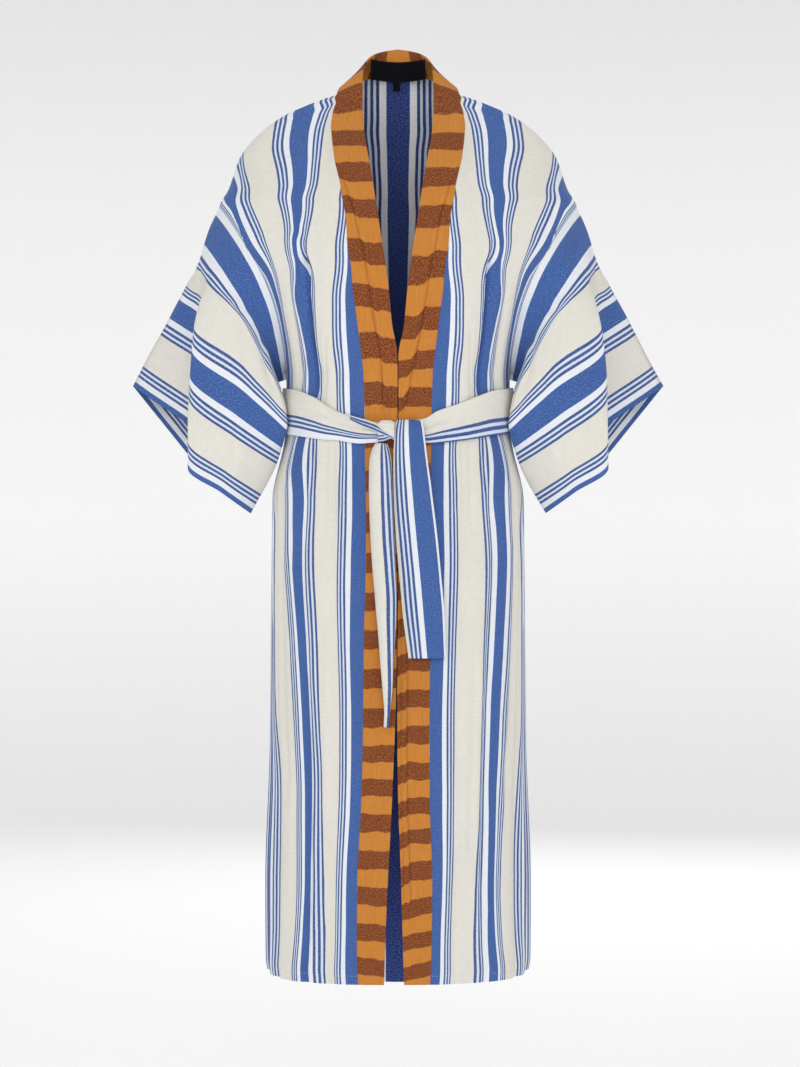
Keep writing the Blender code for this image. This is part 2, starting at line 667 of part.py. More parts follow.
def main():
    for obj in list(bpy.data.objects):
        bpy.data.objects.remove(obj, do_unlink=True)
    collection = bpy.data.collections.new("long_robe")
    bpy.context.scene.collection.children.link(collection)
    pieces = cloth_pieces()
    lift, back = shared_normals(pieces)
    for name, (grid, _, thickness, colour) in pieces.items():
        middle = drawn_back(grid, back[name])
        outer = middle + lift[name] * thickness / 2
        inner = middle - lift[name] * thickness / 2
        points = np.concatenate([outer.reshape(-1, 3), inner.reshape(-1, 3)])
        make_object(name, points, sheet_faces(*grid.shape[:2]), colour, collection)
    make_knot(collection)


main()
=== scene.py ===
"""Looks for the long striped robe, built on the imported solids.

The tables and the form's functions are the ones of the part's own source, run at a finer step.
Millimetres inside, metres in Blender. c is the distance across the cloth from its centre stripe,
s runs down a panel: 0 at its top edge, 1 at the waist, 2 at the hem.
"""

import math

import bmesh
import bpy
import numpy as np
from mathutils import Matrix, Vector


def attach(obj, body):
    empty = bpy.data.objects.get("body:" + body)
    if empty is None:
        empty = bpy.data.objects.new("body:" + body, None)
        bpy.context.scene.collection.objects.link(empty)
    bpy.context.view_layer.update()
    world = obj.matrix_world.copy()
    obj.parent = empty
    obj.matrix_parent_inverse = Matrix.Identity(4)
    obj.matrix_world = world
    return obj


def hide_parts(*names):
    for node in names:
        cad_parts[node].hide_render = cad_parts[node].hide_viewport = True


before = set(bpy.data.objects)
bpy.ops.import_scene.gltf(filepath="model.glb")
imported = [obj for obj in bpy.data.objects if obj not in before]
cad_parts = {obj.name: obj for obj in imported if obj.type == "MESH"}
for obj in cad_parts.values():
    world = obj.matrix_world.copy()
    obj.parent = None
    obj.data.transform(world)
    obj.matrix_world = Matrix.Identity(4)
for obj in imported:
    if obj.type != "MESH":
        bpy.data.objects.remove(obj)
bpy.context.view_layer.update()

MM = 0.001
WAIST_Z = -429.0
HEM_Z = -1150.0
BACK_DROP = 32.0
NECK_C = 100.0
SIDE_C = 345.0
UNDERARM_S = 0.79
SWAY = 5.0
SINGLE = 1.5
DOUBLED = 2.4
LABEL = 0.6

# The worn form: height, half its width; then its depth in front and behind, and how round it is.
FORM_WIDTH = [
    (40, 64), (37, 66.6), (27, 73.7), (16, 78.3), (6.6, 80.5), (2, 94), (-9, 122.8), (-22.4, 151.8),
    (-48.8, 186), (-75.2, 207.2), (-118.8, 223.1), (-142, 235), (-190, 226), (-242, 190), (-285.5, 168),
    (-343, 150), (-368, 146.5), (-429, 146.5), (-455, 150), (-528, 165), (-607, 166), (-850, 168.5),
    (-1030, 174.5), (-1130, 174), (-1150, 171),
]
FORM_FRONT = [
    (40, 3), (6.6, 4), (-9, 12), (-22.4, 24), (-40, 38), (-66, 58), (-106, 85), (-132, 97), (-172, 112),
    (-211, 121), (-251, 125), (-304, 123), (-376, 112), (-429, 105), (-455, 105), (-530, 112),
    (-607, 120), (-800, 125), (-1000, 132), (-1150, 135),
]
FORM_BACK = [
    (40, 66), (16, 78), (6.6, 81), (-9, 86), (-40, 96), (-80, 106), (-150, 115), (-214, 115),
    (-304, 108), (-429, 100), (-455, 102), (-530, 126), (-607, 140), (-800, 140), (-1150, 140),
]
FORM_ROUND = [
    (40, 2.2), (6.6, 2.2), (-9, 1.8), (-30, 1.7), (-80, 1.9), (-150, 2.2), (-300, 2.3), (-1150, 2.3),
]
# c, height of the panels' top edge.
TOP_EDGE = [
    (0, 40), (25, 38), (50, 32), (75, 21.5), (100, 6.6), (115, 2), (151, -9), (186, -22.4), (226, -48.8),
    (266, -75.2), (302, -118.8), (345, -142),
]
# Height, x of the armhole's edge.
ARMHOLE = [
    (-142, 235), (-165, 218.5), (-199, 197), (-242, 174), (-285.5, 159), (-343, 148.5), (-368.7, 146.5),
]
# s, c of the front's edge, where the band is sewn on.
SEAM_LINE = [
    (0, 100), (0.03, 96), (0.08, 88), (0.2, 67), (0.35, 36), (0.5, 12), (0.7, -8), (0.85, -15), (1, -16),
    (2, -16),
]
# s, then x for each c of the line above the table.
FRONT_C = [-16, 0, 35, 75, 100, 115, 151, 186, 226, 266, 302]
FRONT_X = [
    (0.03, (40, 48, 63, 80, 82, 92, 125, 154, 187, 206, 220)),
    (0.08, (40, 49, 65, 83, 90, 100, 128, 157, 184, 202.5, 215)),
    (0.2, (42, 51, 67, 87, 97, 106, 127, 150, 176, 195, 204)),
    (0.35, (45, 54, 70, 94, 105, 114, 130, 144, 161, 173, 174)),
    (0.5, (48, 57, 74.5, 99, 110, 117, 130, 138, 148, 155, 154.5)),
    (0.65, (49, 58, 79, 98.5, 106, 111, 122, 131, 139, 144.5, 145.5)),
    (0.79, (46, 54.5, 77, 95.5, 101, 105, 114, 123, 132, 138, 141.5)),
    (0.9, (43.5, 52, 74.5, 92, 98, 102, 112, 122, 132, 139, 143)),
    (1.0, (42.5, 51, 72.5, 90, 101, 108, 122, 132, 140, 144, 145.6)),
    (1.04, (42.5, 50.5, 71, 88, 101, 109, 127, 136, 142.5, 146.5, 148.5)),
    (1.14, (41, 49, 73, 91, 105, 113, 131, 146, 156, 161, 163.8)),
    (1.25, (41, 50, 74, 94, 108, 117, 134, 148, 157, 162, 164.8)),
    (1.4, (42.5, 51, 71.5, 90, 103, 111, 128, 145, 156, 161.5, 164.6)),
    (1.54, (42.5, 49.5, 69, 88, 101, 108, 123.5, 140, 153, 161, 165)),
    (1.68, (44, 50, 69, 87, 99, 106, 119, 134, 148, 160, 166)),
    (1.82, (48, 54, 70, 87, 98, 105, 118, 132, 147, 161, 169.5)),
    (1.91, (48, 53, 70, 86.5, 99, 107, 120.5, 134, 148, 161, 169)),
    (2.0, (46, 51.5, 69, 86, 100, 109, 123, 136, 149.5, 160, 167)),
]
BACK_C = [0, 50, 100, 151, 186, 226, 266, 302]
BACK_X = [
    (0.03, (0, 52, 84, 125, 154, 187, 206, 220)),
    (0.08, (0, 49, 91, 131, 159, 187, 204, 215)),
    (0.2, (0, 47, 92, 132, 156, 178, 194, 202)),
    (0.35, (0, 45, 89, 129, 150, 169, 176, 174)),
    (0.5, (0, 42, 80, 114, 131, 146, 155, 154.5)),
    (0.65, (0, 38, 73, 103, 119, 133, 142, 145.5)),
    (0.79, (0, 34, 67, 95, 111, 126, 136, 141.5)),
    (1.0, (0, 32, 64, 92, 109, 125, 136, 142.5)),
    (1.14, (0, 36, 71, 103, 122, 141, 154, 161.5)),
    (2.0, (0, 37, 73, 106, 127, 146, 160, 168)),
]
# Panel, c of the fold, spread, s from, s to, depth.
FOLDS = [
    ("front", 131, 13, 0.44, 0.98, 9.0),
    ("front", 212, 15, 0.50, 0.92, 4.0),
    ("front", 96, 12, 0.76, 1.00, 2.5),
    ("front", 55, 12, 1.05, 2.10, 2.2),
    ("front", 133, 13, 1.03, 2.10, 4.5),
    ("front", 206, 14, 1.03, 1.70, 4.5),
    ("front", 250, 15, 1.10, 2.10, 5.5),
    ("front", 318, 14, 1.02, 2.10, 6.0),
    ("back", 0, 16, 0.62, 1.30, 4.0),
    ("back", 62, 15, 0.45, 1.02, 3.5),
    ("back", 74, 15, 1.02, 2.10, 7.0),
    ("back", 138, 15, 0.55, 2.10, 7.0),
    ("back", 205, 15, 0.40, 1.02, 5.0),
    ("back", 214, 16, 1.02, 2.10, 8.0),
    ("back", 282, 15, 1.02, 2.10, 7.0),
]
# Way out from the armhole, then points (x, y, z) round the sleeve at the shares of RING_W.
RING_W = [0, 0.2, 0.36, 0.58, 0.84, 1.0]
RING_FRONT = [
    (26, ((248, 2, -170), (226, -34, -197), (204, -57, -236),
        (179, -55, -291), (164, -29, -350), (158, 2, -372))),
    (61, ((262.7, 5, -215), (255, -18, -226), (240, -46, -245),
        (203, -68, -290), (153, -54, -384), (166, 0, -380))),
    (141, ((283.4, 35, -248), (248, -10, -283), (267, -52, -313),
        (205, -66, -362), (144, -53, -424), (164, -8, -416))),
    (212, ((312.3, 50, -300), (248, -8, -352), (272, -56, -386),
        (212, -68, -438), (157, -36, -474), (174, -4, -467))),
    (320, ((354.5, 60, -375), (249, -8, -457), (273.6, -60, -487),
        (231, -64, -518), (194, -31, -545), (203, 0, -534))),
]
RING_BACK_W = [0, 0.33, 0.7, 1.0]
RING_BACK = [
    (26, ((174, 47, -313), (214, 60, -219))),
    (61, ((190, 72, -330), (242, 68, -250))),
    (141, ((198, 72, -378), (254, 82, -300))),
    (212, ((214, 68, -430), (276, 88, -355))),
    (320, ((250, 66, -500), (313, 92, -428))),
]
# Free edge of the band: height, x, distance behind the form; low down height, x on the right, on the left.
BAND_FREE = [
    (6.6, 47, -2), (-13, 47, 2), (-40, 45, 5), (-106, 34.5, 8), (-172, 24.5, 8), (-251, 12.8, 5),
    (-304, 7.6, 2), (-345, 0.6, 0), (-400, 0.6, 0),
]
BAND_FREE_LOW = [(-429, 0.6, 0.6), (-760, 0.6, 0.6), (-900, 4.0, 3.0), (-1030, 9.5, 8.5), (-1150, 13.0, 13.0)]
# c, then x, y, z of the band's free edge round the neck.
BAND_NECK = [(100, 47, -4, 18), (75, 46, 14, 42), (50, 37, 44, 62), (25, 20, 63, 72.5), (0, 0.0, 71, 76.5)]
# Share of the way round from the knot, height of the belt's middle, width.
BELT_RIGHT = [
    (0, -442, 26), (0.038, -440, 32), (0.1, -434, 36), (0.157, -427.5, 46), (0.2, -422, 53),
    (0.304, -414.5, 59), (0.6, -408, 59), (1, -406, 59),
]
BELT_LEFT = [
    (0, -441.5, 25), (0.066, -440, 32), (0.1, -435, 41), (0.148, -430, 46), (0.22, -422.5, 53),
    (0.304, -415.5, 58), (0.6, -408, 59), (1, -406, 59),
]
BELT_OFF = 4.3
BELT_ROUND = 2.3
KNOT_FROM = -25.5
KNOT_TO = -4.0
# The tied part: points (x, y, z) along the top edge of each folded strip and along its bottom edge.
KNOT_WRAP = [
    ((-25.5, -110.9, -429.5), (-25.5, -110.9, -454.5)),
    ((-20, -114, -430), (-20, -114, -454)),
    ((-12, -116.5, -431.5), (-12, -116.5, -451)),
    ((-4.5, -115.5, -434), (-4.5, -115.5, -447)),
]
KNOT_LOOP = [
    ((-26.3, -118.5, -432.1), (-26.3, -118.5, -432.9)),
    ((-19.9, -121.0, -427.2), (-18.0, -121.0, -440.1)),
    ((-10.3, -121.8, -427.2), (-11.0, -121.8, -444.5)),
    ((-4.8, -119.5, -430.0), (-4.8, -119.5, -448.2)),
]
KNOT_TWIST = [
    ((-61.7, -107.4, -420.4), (-61.7, -107.4, -424.9)),
    ((-48.9, -110.0, -424.0), (-48.9, -110.0, -432.0)),
    ((-33.4, -112.6, -428.4), (-33.4, -112.6, -438.5)),
    ((-18.0, -118.4, -436.5), (-18.0, -118.4, -445.2)),
    ((-5.1, -118.6, -446.3), (-5.1, -118.6, -451.0)),
]
# The turn round the crossing, the twisted strip that enters it and the loop on top:
# name, edges, bulge, roll, stripe distance at top and bottom, seed, flat size, what it lies on.
KNOT_STRIPS = [
    ("belt_knot_cloth", KNOT_WRAP, 1.6, 0.6, 77.0, 27.5, 0.4, (0.027, 0.026), "belt_waist_cloth"),
    ("belt_knot_twist", KNOT_TWIST, 1.2, 0.5, 50.0, 31.0, 1.9, (0.060, 0.011), "belt_waist_cloth"),
    ("belt_knot_loop", KNOT_LOOP, 1.6, 1.0, 72.0, 52.0, 3.1, (0.024, 0.016), "belt_knot_cloth"),
]
# Belt ends: height, x, y of the front, half the width, depth of the bend.
END_LEFT = [
    (-426.5, 14.6, -113.8, 15.6, 1.0), (-430, 14.8, -117.5, 16.5, 2.5), (-440, 14.8, -122.5, 18.2, 5),
    (-470, 15.6, -126.5, 20.8, 7), (-520, 19.0, -129.0, 24.0, 7), (-590, 25.2, -131.2, 26.2, 6),
    (-665, 32.0, -131.7, 26.4, 5), (-732, 37.4, -131.7, 23.6, 4),
]
END_RIGHT = [
    (-456.7, -21.8, -120.5, 6.3, 8), (-464, -22.8, -125, 9.5, 11), (-480, -23.0, -130, 13.0, 15),
    (-512, -22.6, -134, 14.0, 17.5), (-560, -20.8, -139, 14.2, 18.5), (-610, -18.2, -143.5, 13.8, 19.5),
    (-657, -15.4, -147, 12.6, 20.5), (-700, -14.4, -149.6, 10.0, 21.8), (-740, -13.9, -152, 7.5, 23),
    (-772, -13.4, -153.7, 5.3, 24.2), (-797, -13.6, -155, 3.0, 24.7), (-819, -15.0, -156, 2.0, 25),
]
# Middle x, top z, width, height, y at the top, y at the bottom, bow.
LABEL_PLACE = (0.0, 58.5, 72.0, 27.0, 63.0, 60.6, 30.0)
TAB_PLACE = (-2.0, 31.1, 9.5, 12.0, 60.5, 58.9, 0.3)

# Lengthwise fold pressed into each half of the band: height, share of the way from the sewn edge.
FOLD_RIGHT = [
    (-412, 0.56), (-355, 0.53), (-309, 0.50), (-257, 0.46), (-212, 0.42), (-166, 0.30), (-129, 0.18),
    (-104, 0.05),
]
FOLD_LEFT = [
    (-415, 0.85), (-383, 0.67), (-326, 0.49), (-286, 0.47), (-234, 0.41), (-189, 0.35), (-140, 0.25),
    (-102, 0.05),
]
# Stripes drawn in by the folds at the chest: height, c of the blue stripe's two edges.
CHEST_EDGES = [135.0, 167.0]
CHEST_C = [
    (-335, 135, 167), (-290, 130, 176), (-255, 125, 186), (-232, 134, 174), (-208, 146, 162),
    (-185, 144, 163), (-150, 135, 167),
]
# Stripes on the skirt: height, distance out from the centre of each stripe edge.
SKIRT_EDGES = [45.5, 105.5, 135.0, 167.0, 196.5, 256.5]
SKIRT_RIGHT = [
    (-1139, 81.5, 91.7, 113.9, 125.7, 137.3, 154.6), (-1068, 80.2, 93.0, 113.4, 121.9, 131.3, 148.4),
    (-991, 78.9, 94.9, 112.3, 119.3, 130.2, 146.9), (-901, 75.1, 96.9, 109.7, 120.2, 130.6, 150.1),
    (-786, 75.1, 101.0, 114.6, 124.8, 136.0, 160.0), (-670, 78.3, 104.6, 121.0, 132.4, 142.4, 161.0),
    (-580, 77.6, 108.4, 124.0, 136.9, 147.5, 161.0), (-491, 75.7, 103.3, 121.9, 135.4, 143.7, 158.0),
]
SKIRT_LEFT = [
    (-1139, 66.7, 96.2, 117.1, 129.3, 138.9, 155.2), (-1068, 68.0, 96.9, 115.5, 123.4, 131.8, 148.2),
    (-991, 70.6, 100.7, 116.5, 124.2, 133.4, 148.2), (-901, 71.8, 105.2, 116.8, 127.4, 137.0, 154.9),
    (-786, 72.5, 107.8, 120.3, 131.9, 142.7, 161.0), (-670, 75.7, 111.6, 127.0, 138.6, 147.8, 161.0),
    (-580, 77.6, 111.6, 128.3, 141.1, 150.1, 160.0), (-491, 75.1, 103.3, 121.2, 135.1, 142.4, 157.0),
]

# Edges of the band's bars: height of the edge, bars counted from the first edge above the hem.
BARS_RIGHT = [
    (-1153, -0.75), (-1136, 0), (-1093, 2), (-1001, 6), (-909, 10), (-821, 14), (-720, 18), (-598, 23),
    (-406, 30), (-347, 32), (-281, 34), (-222, 36), (-161, 38), (-90, 41), (-20, 44), (13, 45),
]
BARS_LEFT = [
    (-1153, -0.85), (-1138, 0), (-1059, 4), (-969, 8), (-932, 10), (-865, 13), (-384, 33), (-310, 36),
    (-245, 38), (-176, 40), (-97, 43), (-22, 46), (13, 47),
]
BAR = 24.0


def smooth(xs, ys, x):
    """Values at x on a curve through the points that doesn't overshoot them; ys may hold vectors."""
    return curve(xs, ys, x, None)


def curve(xs, ys, x, own):
    """As smooth; with own, ys has a column for each x and each x reads only its own."""
    xs = np.asarray(xs, float)
    ys = np.asarray(ys, float)
    x = np.clip(np.asarray(x, float), xs[0], xs[-1])
    width = np.diff(xs)
    shape = (len(width),) + (1,) * (ys.ndim - 1)
    rise = np.diff(ys, axis=0) / width.reshape(shape)
    slope = np.empty_like(ys)
    slope[0] = rise[0]
    slope[-1] = rise[-1]
    before, after = rise[:-1], rise[1:]
    same = before * after > 0
    wide = (2 * width[1:] + width[:-1]).reshape((-1,) + shape[1:])
    narrow = (width[1:] + 2 * width[:-1]).reshape((-1,) + shape[1:])
    share = wide / np.where(same, before, 1) + narrow / np.where(same, after, 1)
    slope[1:-1] = np.where(same, (wide + narrow) / np.where(same, share, 1), 0)
    i = np.clip(np.searchsorted(xs, x, side="right") - 1, 0, len(width) - 1)
    t = (x - xs[i]) / width[i]
    if own is None:
        t = t.reshape(t.shape + (1,) * (ys.ndim - 1))
        low, high = ys[i], ys[i + 1]
        slope_low, slope_high = slope[i], slope[i + 1]
    else:
        low, high = ys[i, own], ys[i + 1, own]
        slope_low, slope_high = slope[i, own], slope[i + 1, own]
    w = width[i].reshape(t.shape)
    return (
        (1 + 2 * t) * (1 - t) ** 2 * low
        + t * (1 - t) ** 2 * w * slope_low
        + t**2 * (3 - 2 * t) * high
        + t**2 * (t - 1) * w * slope_high
    )


def look_up(table, x):
    """The table's other columns, at these values of its first column."""
    rows = sorted(table)
    return smooth([row[0] for row in rows], [row[1:] for row in rows], x)


def value_at(table, x):
    return look_up(table, x)[..., 0]


def unit(t):
    return np.clip(t, 0, 1)


def ease(t):
    return t * t * (3 - 2 * t)


def height_of(c, s):
    c = np.abs(c)
    top = value_at(TOP_EDGE, np.maximum(c, 0))
    upper = top + np.minimum(s, 1) * (WAIST_Z - top)
    hem = HEM_Z + 5.0 * (c / SIDE_C) ** 4
    return np.where(s <= 1, upper, WAIST_Z + (s - 1) * (hem - WAIST_Z))


def back_height(c, s):
    return height_of(c, s) - BACK_DROP * np.maximum(s - 1, 0) * (1 - (c / SIDE_C) ** 2) ** 2


def front_height(c, s):
    return height_of(np.maximum(c, np.where(s <= 1, NECK_C, 0)), s)


def width_at(z):
    return value_at(FORM_WIDTH, z)


def make_shares(columns, rows, height):
    cs = np.array(list(columns) + [SIDE_C], float)
    s_values = [0.0]
    angles = [np.clip(cs / NECK_C, -0.2, 1) * math.pi / 2]
    for s, xs in rows:
        z = height(cs, np.full(len(cs), s))
        side = value_at(ARMHOLE, z[-1]) if s < UNDERARM_S else width_at(z[-1])
        share = np.clip(np.append(np.array(xs, float), side) / width_at(z), -1, 1)
        s_values.append(s)
        angles.append(np.arcsin(share))
    return np.array(s_values), cs, np.array(angles)


SHARES = {
    "front": make_shares(FRONT_C, FRONT_X, front_height),
    "back": make_shares(BACK_C, BACK_X, back_height),
}


def rise_and_fall(s, low, high):
    return ease(unit((s - low) / 0.14)) * ease(unit((high - s) / 0.1))


def form_point(panel, share, z):
    round_ = value_at(FORM_ROUND, z)
    depth = -value_at(FORM_FRONT, z) if panel == "front" else value_at(FORM_BACK, z)
    share = np.clip(share, -1, 1)
    return width_at(z) * share, depth * np.maximum(1 - np.abs(share) ** round_, 0) ** (1 / round_)


def body(panel, c, s):
    """Points on the front or back panel, x outwards on either side, in millimetres."""
    c, s = np.broadcast_arrays(np.asarray(c, float), np.asarray(s, float))
    shape = c.shape
    c = c.reshape(-1)
    s = s.reshape(-1)
    s_values, cs, angles = SHARES[panel]
    side = np.where(c < 0, -1.0, 1.0) if panel == "back" else np.ones(len(c))
    reach = np.abs(c) if panel == "back" else c
    by_row = np.sin(smooth(cs, angles.T, reach))
    share = curve(s_values, by_row.T, s, np.arange(len(c)))
    share = np.where((s <= 0) & (reach >= NECK_C), 1.0, share)
    z = back_height(reach, s) if panel == "back" else front_height(reach, s)
    armhole = (reach >= SIDE_C - 1e-6) & (s < UNDERARM_S)
    share = np.where(armhole, value_at(ARMHOLE, z) / width_at(z), share)
    share = np.where((reach >= SIDE_C - 1e-6) & (s >= UNDERARM_S), 1.0, share)
    x, y = form_point(panel, share, z)
    inwards = np.zeros(len(c))
    for owner, centre, spread, low, high, depth in FOLDS:
        if owner == panel:
            across = np.exp(-(((reach - centre) / spread) ** 2))
            inwards += depth * across * rise_and_fall(s, low, high)
    edge_free = unit((SIDE_C - reach) / 12)
    inwards *= edge_free
    away = np.maximum(np.hypot(x, y), 1)
    keep = 1 - inwards / away
    return np.stack([side * x * keep, y * keep, z], axis=-1).reshape(shape + (3,))


def sway(points):
    moved = points.copy()
    fall = unit((WAIST_Z - 180 - moved[..., 2]) / 500)
    front = unit(-moved[..., 1] / 120) ** 2
    moved[..., 0] -= SWAY * fall * front
    return moved


def mirrored(points, sign):
    out = points.copy()
    out[..., 0] *= sign
    return out


ARM_STEPS = 84
WAIST_STEPS = 20
SKIRT_STEPS = 170
PANEL_STEPS = 84
NECK_STEPS = 24
ARM_S = [UNDERARM_S * i / ARM_STEPS for i in range(ARM_STEPS + 1)]
ROWS = (
    ARM_S
    + [UNDERARM_S + (1 - UNDERARM_S) * i / WAIST_STEPS for i in range(1, WAIST_STEPS + 1)]
    + [1 + i / SKIRT_STEPS for i in range(1, SKIRT_STEPS + 1)]
)


def front_grid(sign):
    s = np.array(ROWS)[:, None]
    seam = value_at(SEAM_LINE, s)
    u = np.linspace(0, 1, PANEL_STEPS + 1)[None, :]
    c = seam + u * (SIDE_C - seam)
    return sway(mirrored(body("front", c, s), sign)), c * sign


def back_grid():
    outer = NECK_C + np.linspace(0, 1, PANEL_STEPS // 2 + 17) * (SIDE_C - NECK_C)
    inner = np.arange(0, NECK_C, NECK_C / NECK_STEPS)
    half = np.concatenate([inner, outer])
    c = np.concatenate([-half[:0:-1], half])[None, :]
    c, s = np.broadcast_arrays(c, np.array(ROWS)[:, None])
    return sway(body("back", c, s)), c


def armhole_edge(panel):
    return body(panel, np.full(len(ARM_S), SIDE_C), np.array(ARM_S))


SLEEVE_STEPS = 92


def sleeve_grid(sign):
    """Rows round the sleeve from the underarm seam over the front to the same seam, columns to the cuff."""
    w = np.linspace(0, 1, ARM_STEPS + 1)
    at = [0.0]
    front = [armhole_edge("front")]
    back = [armhole_edge("back")[::-1]]
    for (p, ring), (_, belly) in zip(RING_FRONT, RING_BACK):
        at.append(p)
        front.append(smooth(RING_W, ring, w))
        back.append(smooth(RING_BACK_W, (ring[-1],) + belly + (ring[0],), w))
    along = np.linspace(0, at[-1], SLEEVE_STEPS + 1)
    front = smooth(at, np.array(front), along)
    back = smooth(at, np.array(back), along)
    loop = np.concatenate([front[:, ::-1], back[:, ::-1][:, 1:]], axis=1)
    grid = mirrored(loop.transpose(1, 0, 2), sign)
    return grid, np.broadcast_to(along[None, :], grid.shape[:2])


def band_edges(sign):
    """The sewn edge and the free edge of one half of the band, from the hem to the centre back."""
    s = np.array(ROWS)[::-1]
    sewn = body("front", value_at(SEAM_LINE, s), s)
    z = sewn[:, 2]
    upper = look_up(BAND_FREE, z)
    lower = look_up(BAND_FREE_LOW, z)
    x = np.where(z < -400, lower[:, 0 if sign < 0 else 1], upper[:, 0])
    behind = np.where(z < -400, 0, upper[:, 1])
    depth = value_at(FORM_FRONT, z)
    round_ = value_at(FORM_ROUND, z)
    y = -depth * np.maximum(1 - (x / width_at(z)) ** round_, 0) ** (1 / round_) + behind
    free = np.stack([x, y, z], axis=-1)
    across = NECK_C - np.arange(1, NECK_STEPS + 1) * NECK_C / NECK_STEPS
    rise = look_up(BAND_NECK, across)
    start = look_up(BAND_NECK, [NECK_C])[0]
    # The last stretch of the front's edge turns softly into the neck's.
    near = ease(unit((z + 24) / 30.6))[:, None]
    free = free * (1 - near) + start * near
    sewn_neck = body("back", across, np.zeros(len(across)))
    sewn = np.concatenate([sewn, sewn_neck])
    free = np.concatenate([free, rise])
    return sway(mirrored(sewn, sign)), sway(mirrored(free, sign))


BAND_ACROSS = 36
STRIPE_MEAN = 25
FOLD_WIDTH = 0.036
# Hem stitches lie this many grid steps in from the edge.
HEM_IN = 2.6
HEM_LINE = len(ROWS) - 1 - HEM_IN
SEAM_IN = 1.2
BAND_WIDTH = 45.0
SLEEVE_STRIPE = 25.5
KNOT_THICK = 1.6


def band_grid(sign):
    """Rows from the hem to the centre back, columns from the sewn edge to the free edge."""
    sewn, free = band_edges(sign)
    share = np.linspace(0, 1, BAND_ACROSS + 1)
    grid = sewn[:, None] * (1 - share[None, :, None]) + free[:, None] * share[None, :, None]
    fall = unit((grid[:, 1, 2] - WAIST_Z) / 120)
    forward = np.interp(share, [0, 0.3, 0.62, 1], [0, 2.5, 1.0, 0])
    grid[..., 1] -= fall[:, None] * forward[None, :]
    phase = value_at(BARS_RIGHT if sign < 0 else BARS_LEFT, grid[:, 0, 2])
    step = np.concatenate([[0], np.linalg.norm(np.diff(grid.mean(axis=1), axis=0), axis=-1)])
    neck = len(ROWS)
    phase[neck:] = phase[neck - 1] + np.cumsum(step[neck:]) / BAR
    return grid, share * BAND_WIDTH, phase * BAR


BELT_STEPS = 300
BELT_ACROSS = 18


def belt_grid():
    """Rows from the knot round the wearer's right side and back to the knot, columns from top to bottom."""
    rows = []
    for i in range(BELT_STEPS + 1):
        turn = i / BELT_STEPS
        share_round = 1 - abs(2 * turn - 1)
        sign = -1 if turn < 0.5 else 1
        wrap = BELT_RIGHT if sign < 0 else BELT_LEFT
        middle, width = look_up(wrap, share_round)
        start = KNOT_FROM if sign < 0 else KNOT_TO
        points = []
        for j in range(BELT_ACROSS + 1):
            z = middle + width * (0.5 - j / BELT_ACROSS)
            a = width_at(z) + BELT_OFF
            first = math.asin(min(1, abs(start) / a))
            if start * sign < 0:
                first = -first
            angle = first + share_round * (math.pi - first)
            sin, cos = math.sin(angle), math.cos(angle)
            depth = value_at(FORM_FRONT, z) if cos > 0 else value_at(FORM_BACK, z)
            y = -(depth + BELT_OFF) * math.copysign(abs(cos) ** (2 / BELT_ROUND), cos)
            x = a * math.copysign(abs(sin) ** (2 / BELT_ROUND), sin)
            if share_round == 0:
                x = abs(start) * math.copysign(1, start * sign)
            points.append((sign * x, y, z))
        rows.append(points)
    return np.array(rows)


def strap_grid(table, steps, across_steps, bend):
    way = np.linspace(0, 1, steps + 1)
    at = np.linspace(0, 1, len(table))
    rows = smooth(at, table, way)
    across = np.linspace(-1, 1, across_steps + 1)
    grid = []
    for z, x, y, half, depth in rows:
        dx, dy = bend(across, half, depth)
        grid.append(np.stack([x + dx, y + dy, np.full(len(across), z)], axis=-1))
    return np.array(grid)


def shallow(r, half, depth):
    return half * r, depth * r * r


def gutter(r, half, depth):
    """A round fold in front with two straight walls behind it."""
    arc = half * math.pi / 2
    way = np.abs(r) * (arc + max(0, depth - half))
    angle = np.minimum(way / half, math.pi / 2)
    return np.sign(r) * half * np.sin(angle), half * (1 - np.cos(angle)) + np.maximum(0, way - arc)


def grid_normals(grid):
    down = np.gradient(grid, axis=0)
    across = np.gradient(grid, axis=1)
    normal = np.cross(across, down)
    return normal / np.maximum(np.linalg.norm(normal, axis=-1, keepdims=True), 1e-9)


def distances(grid):
    """Distance down each column from the first row, in millimetres."""
    step = np.linalg.norm(np.diff(grid, axis=0), axis=-1)
    mean = np.concatenate([[0], np.cumsum(step.mean(axis=1))])
    return np.broadcast_to(mean[:, None], grid.shape[:2])


def trough(distance, width):
    """A soft crease: a valley with a low ridge on each side."""
    r = distance / width
    return -np.exp(-r * r) + 0.42 * np.exp(-((np.abs(r) - 2.0) ** 2))


def crease(u, v, line, width, depth):
    """Height of a crease drawn as a line of (u, v) points on the cloth, uneven along its way."""
    best = np.full(u.shape, 1e9)
    way = np.zeros(u.shape)
    total = 0.0
    for (u0, v0), (u1, v1) in zip(line, line[1:]):
        du, dv = u1 - u0, v1 - v0
        length = math.hypot(du, dv)
        t = unit(((u - u0) * du + (v - v0) * dv) / (length * length))
        away = np.hypot(u - u0 - t * du, v - v0 - t * dv)
        nearer = away < best
        best = np.where(nearer, away, best)
        way = np.where(nearer, total + t * length, way)
        total += length
    share = way / total
    ends = unit(np.minimum(share, 1 - share) / 0.22)
    uneven = 1 + 0.25 * np.sin(way / 17.0 + line[0][0])
    return depth * ends * (2 - ends) * uneven * trough(best, width)


def unevenness(u, v, seed):
    """A low swell that keeps large faces from being even."""
    turn = seed * 1.7
    return (
        np.sin(u / 31 + v / 173 + turn)
        + 0.7 * np.sin(u / 19 - v / 121 + 2.1 * turn)
        + 0.5 * np.sin(v / 37 + u / 83 + 0.6 * turn)
    ) / 2.2


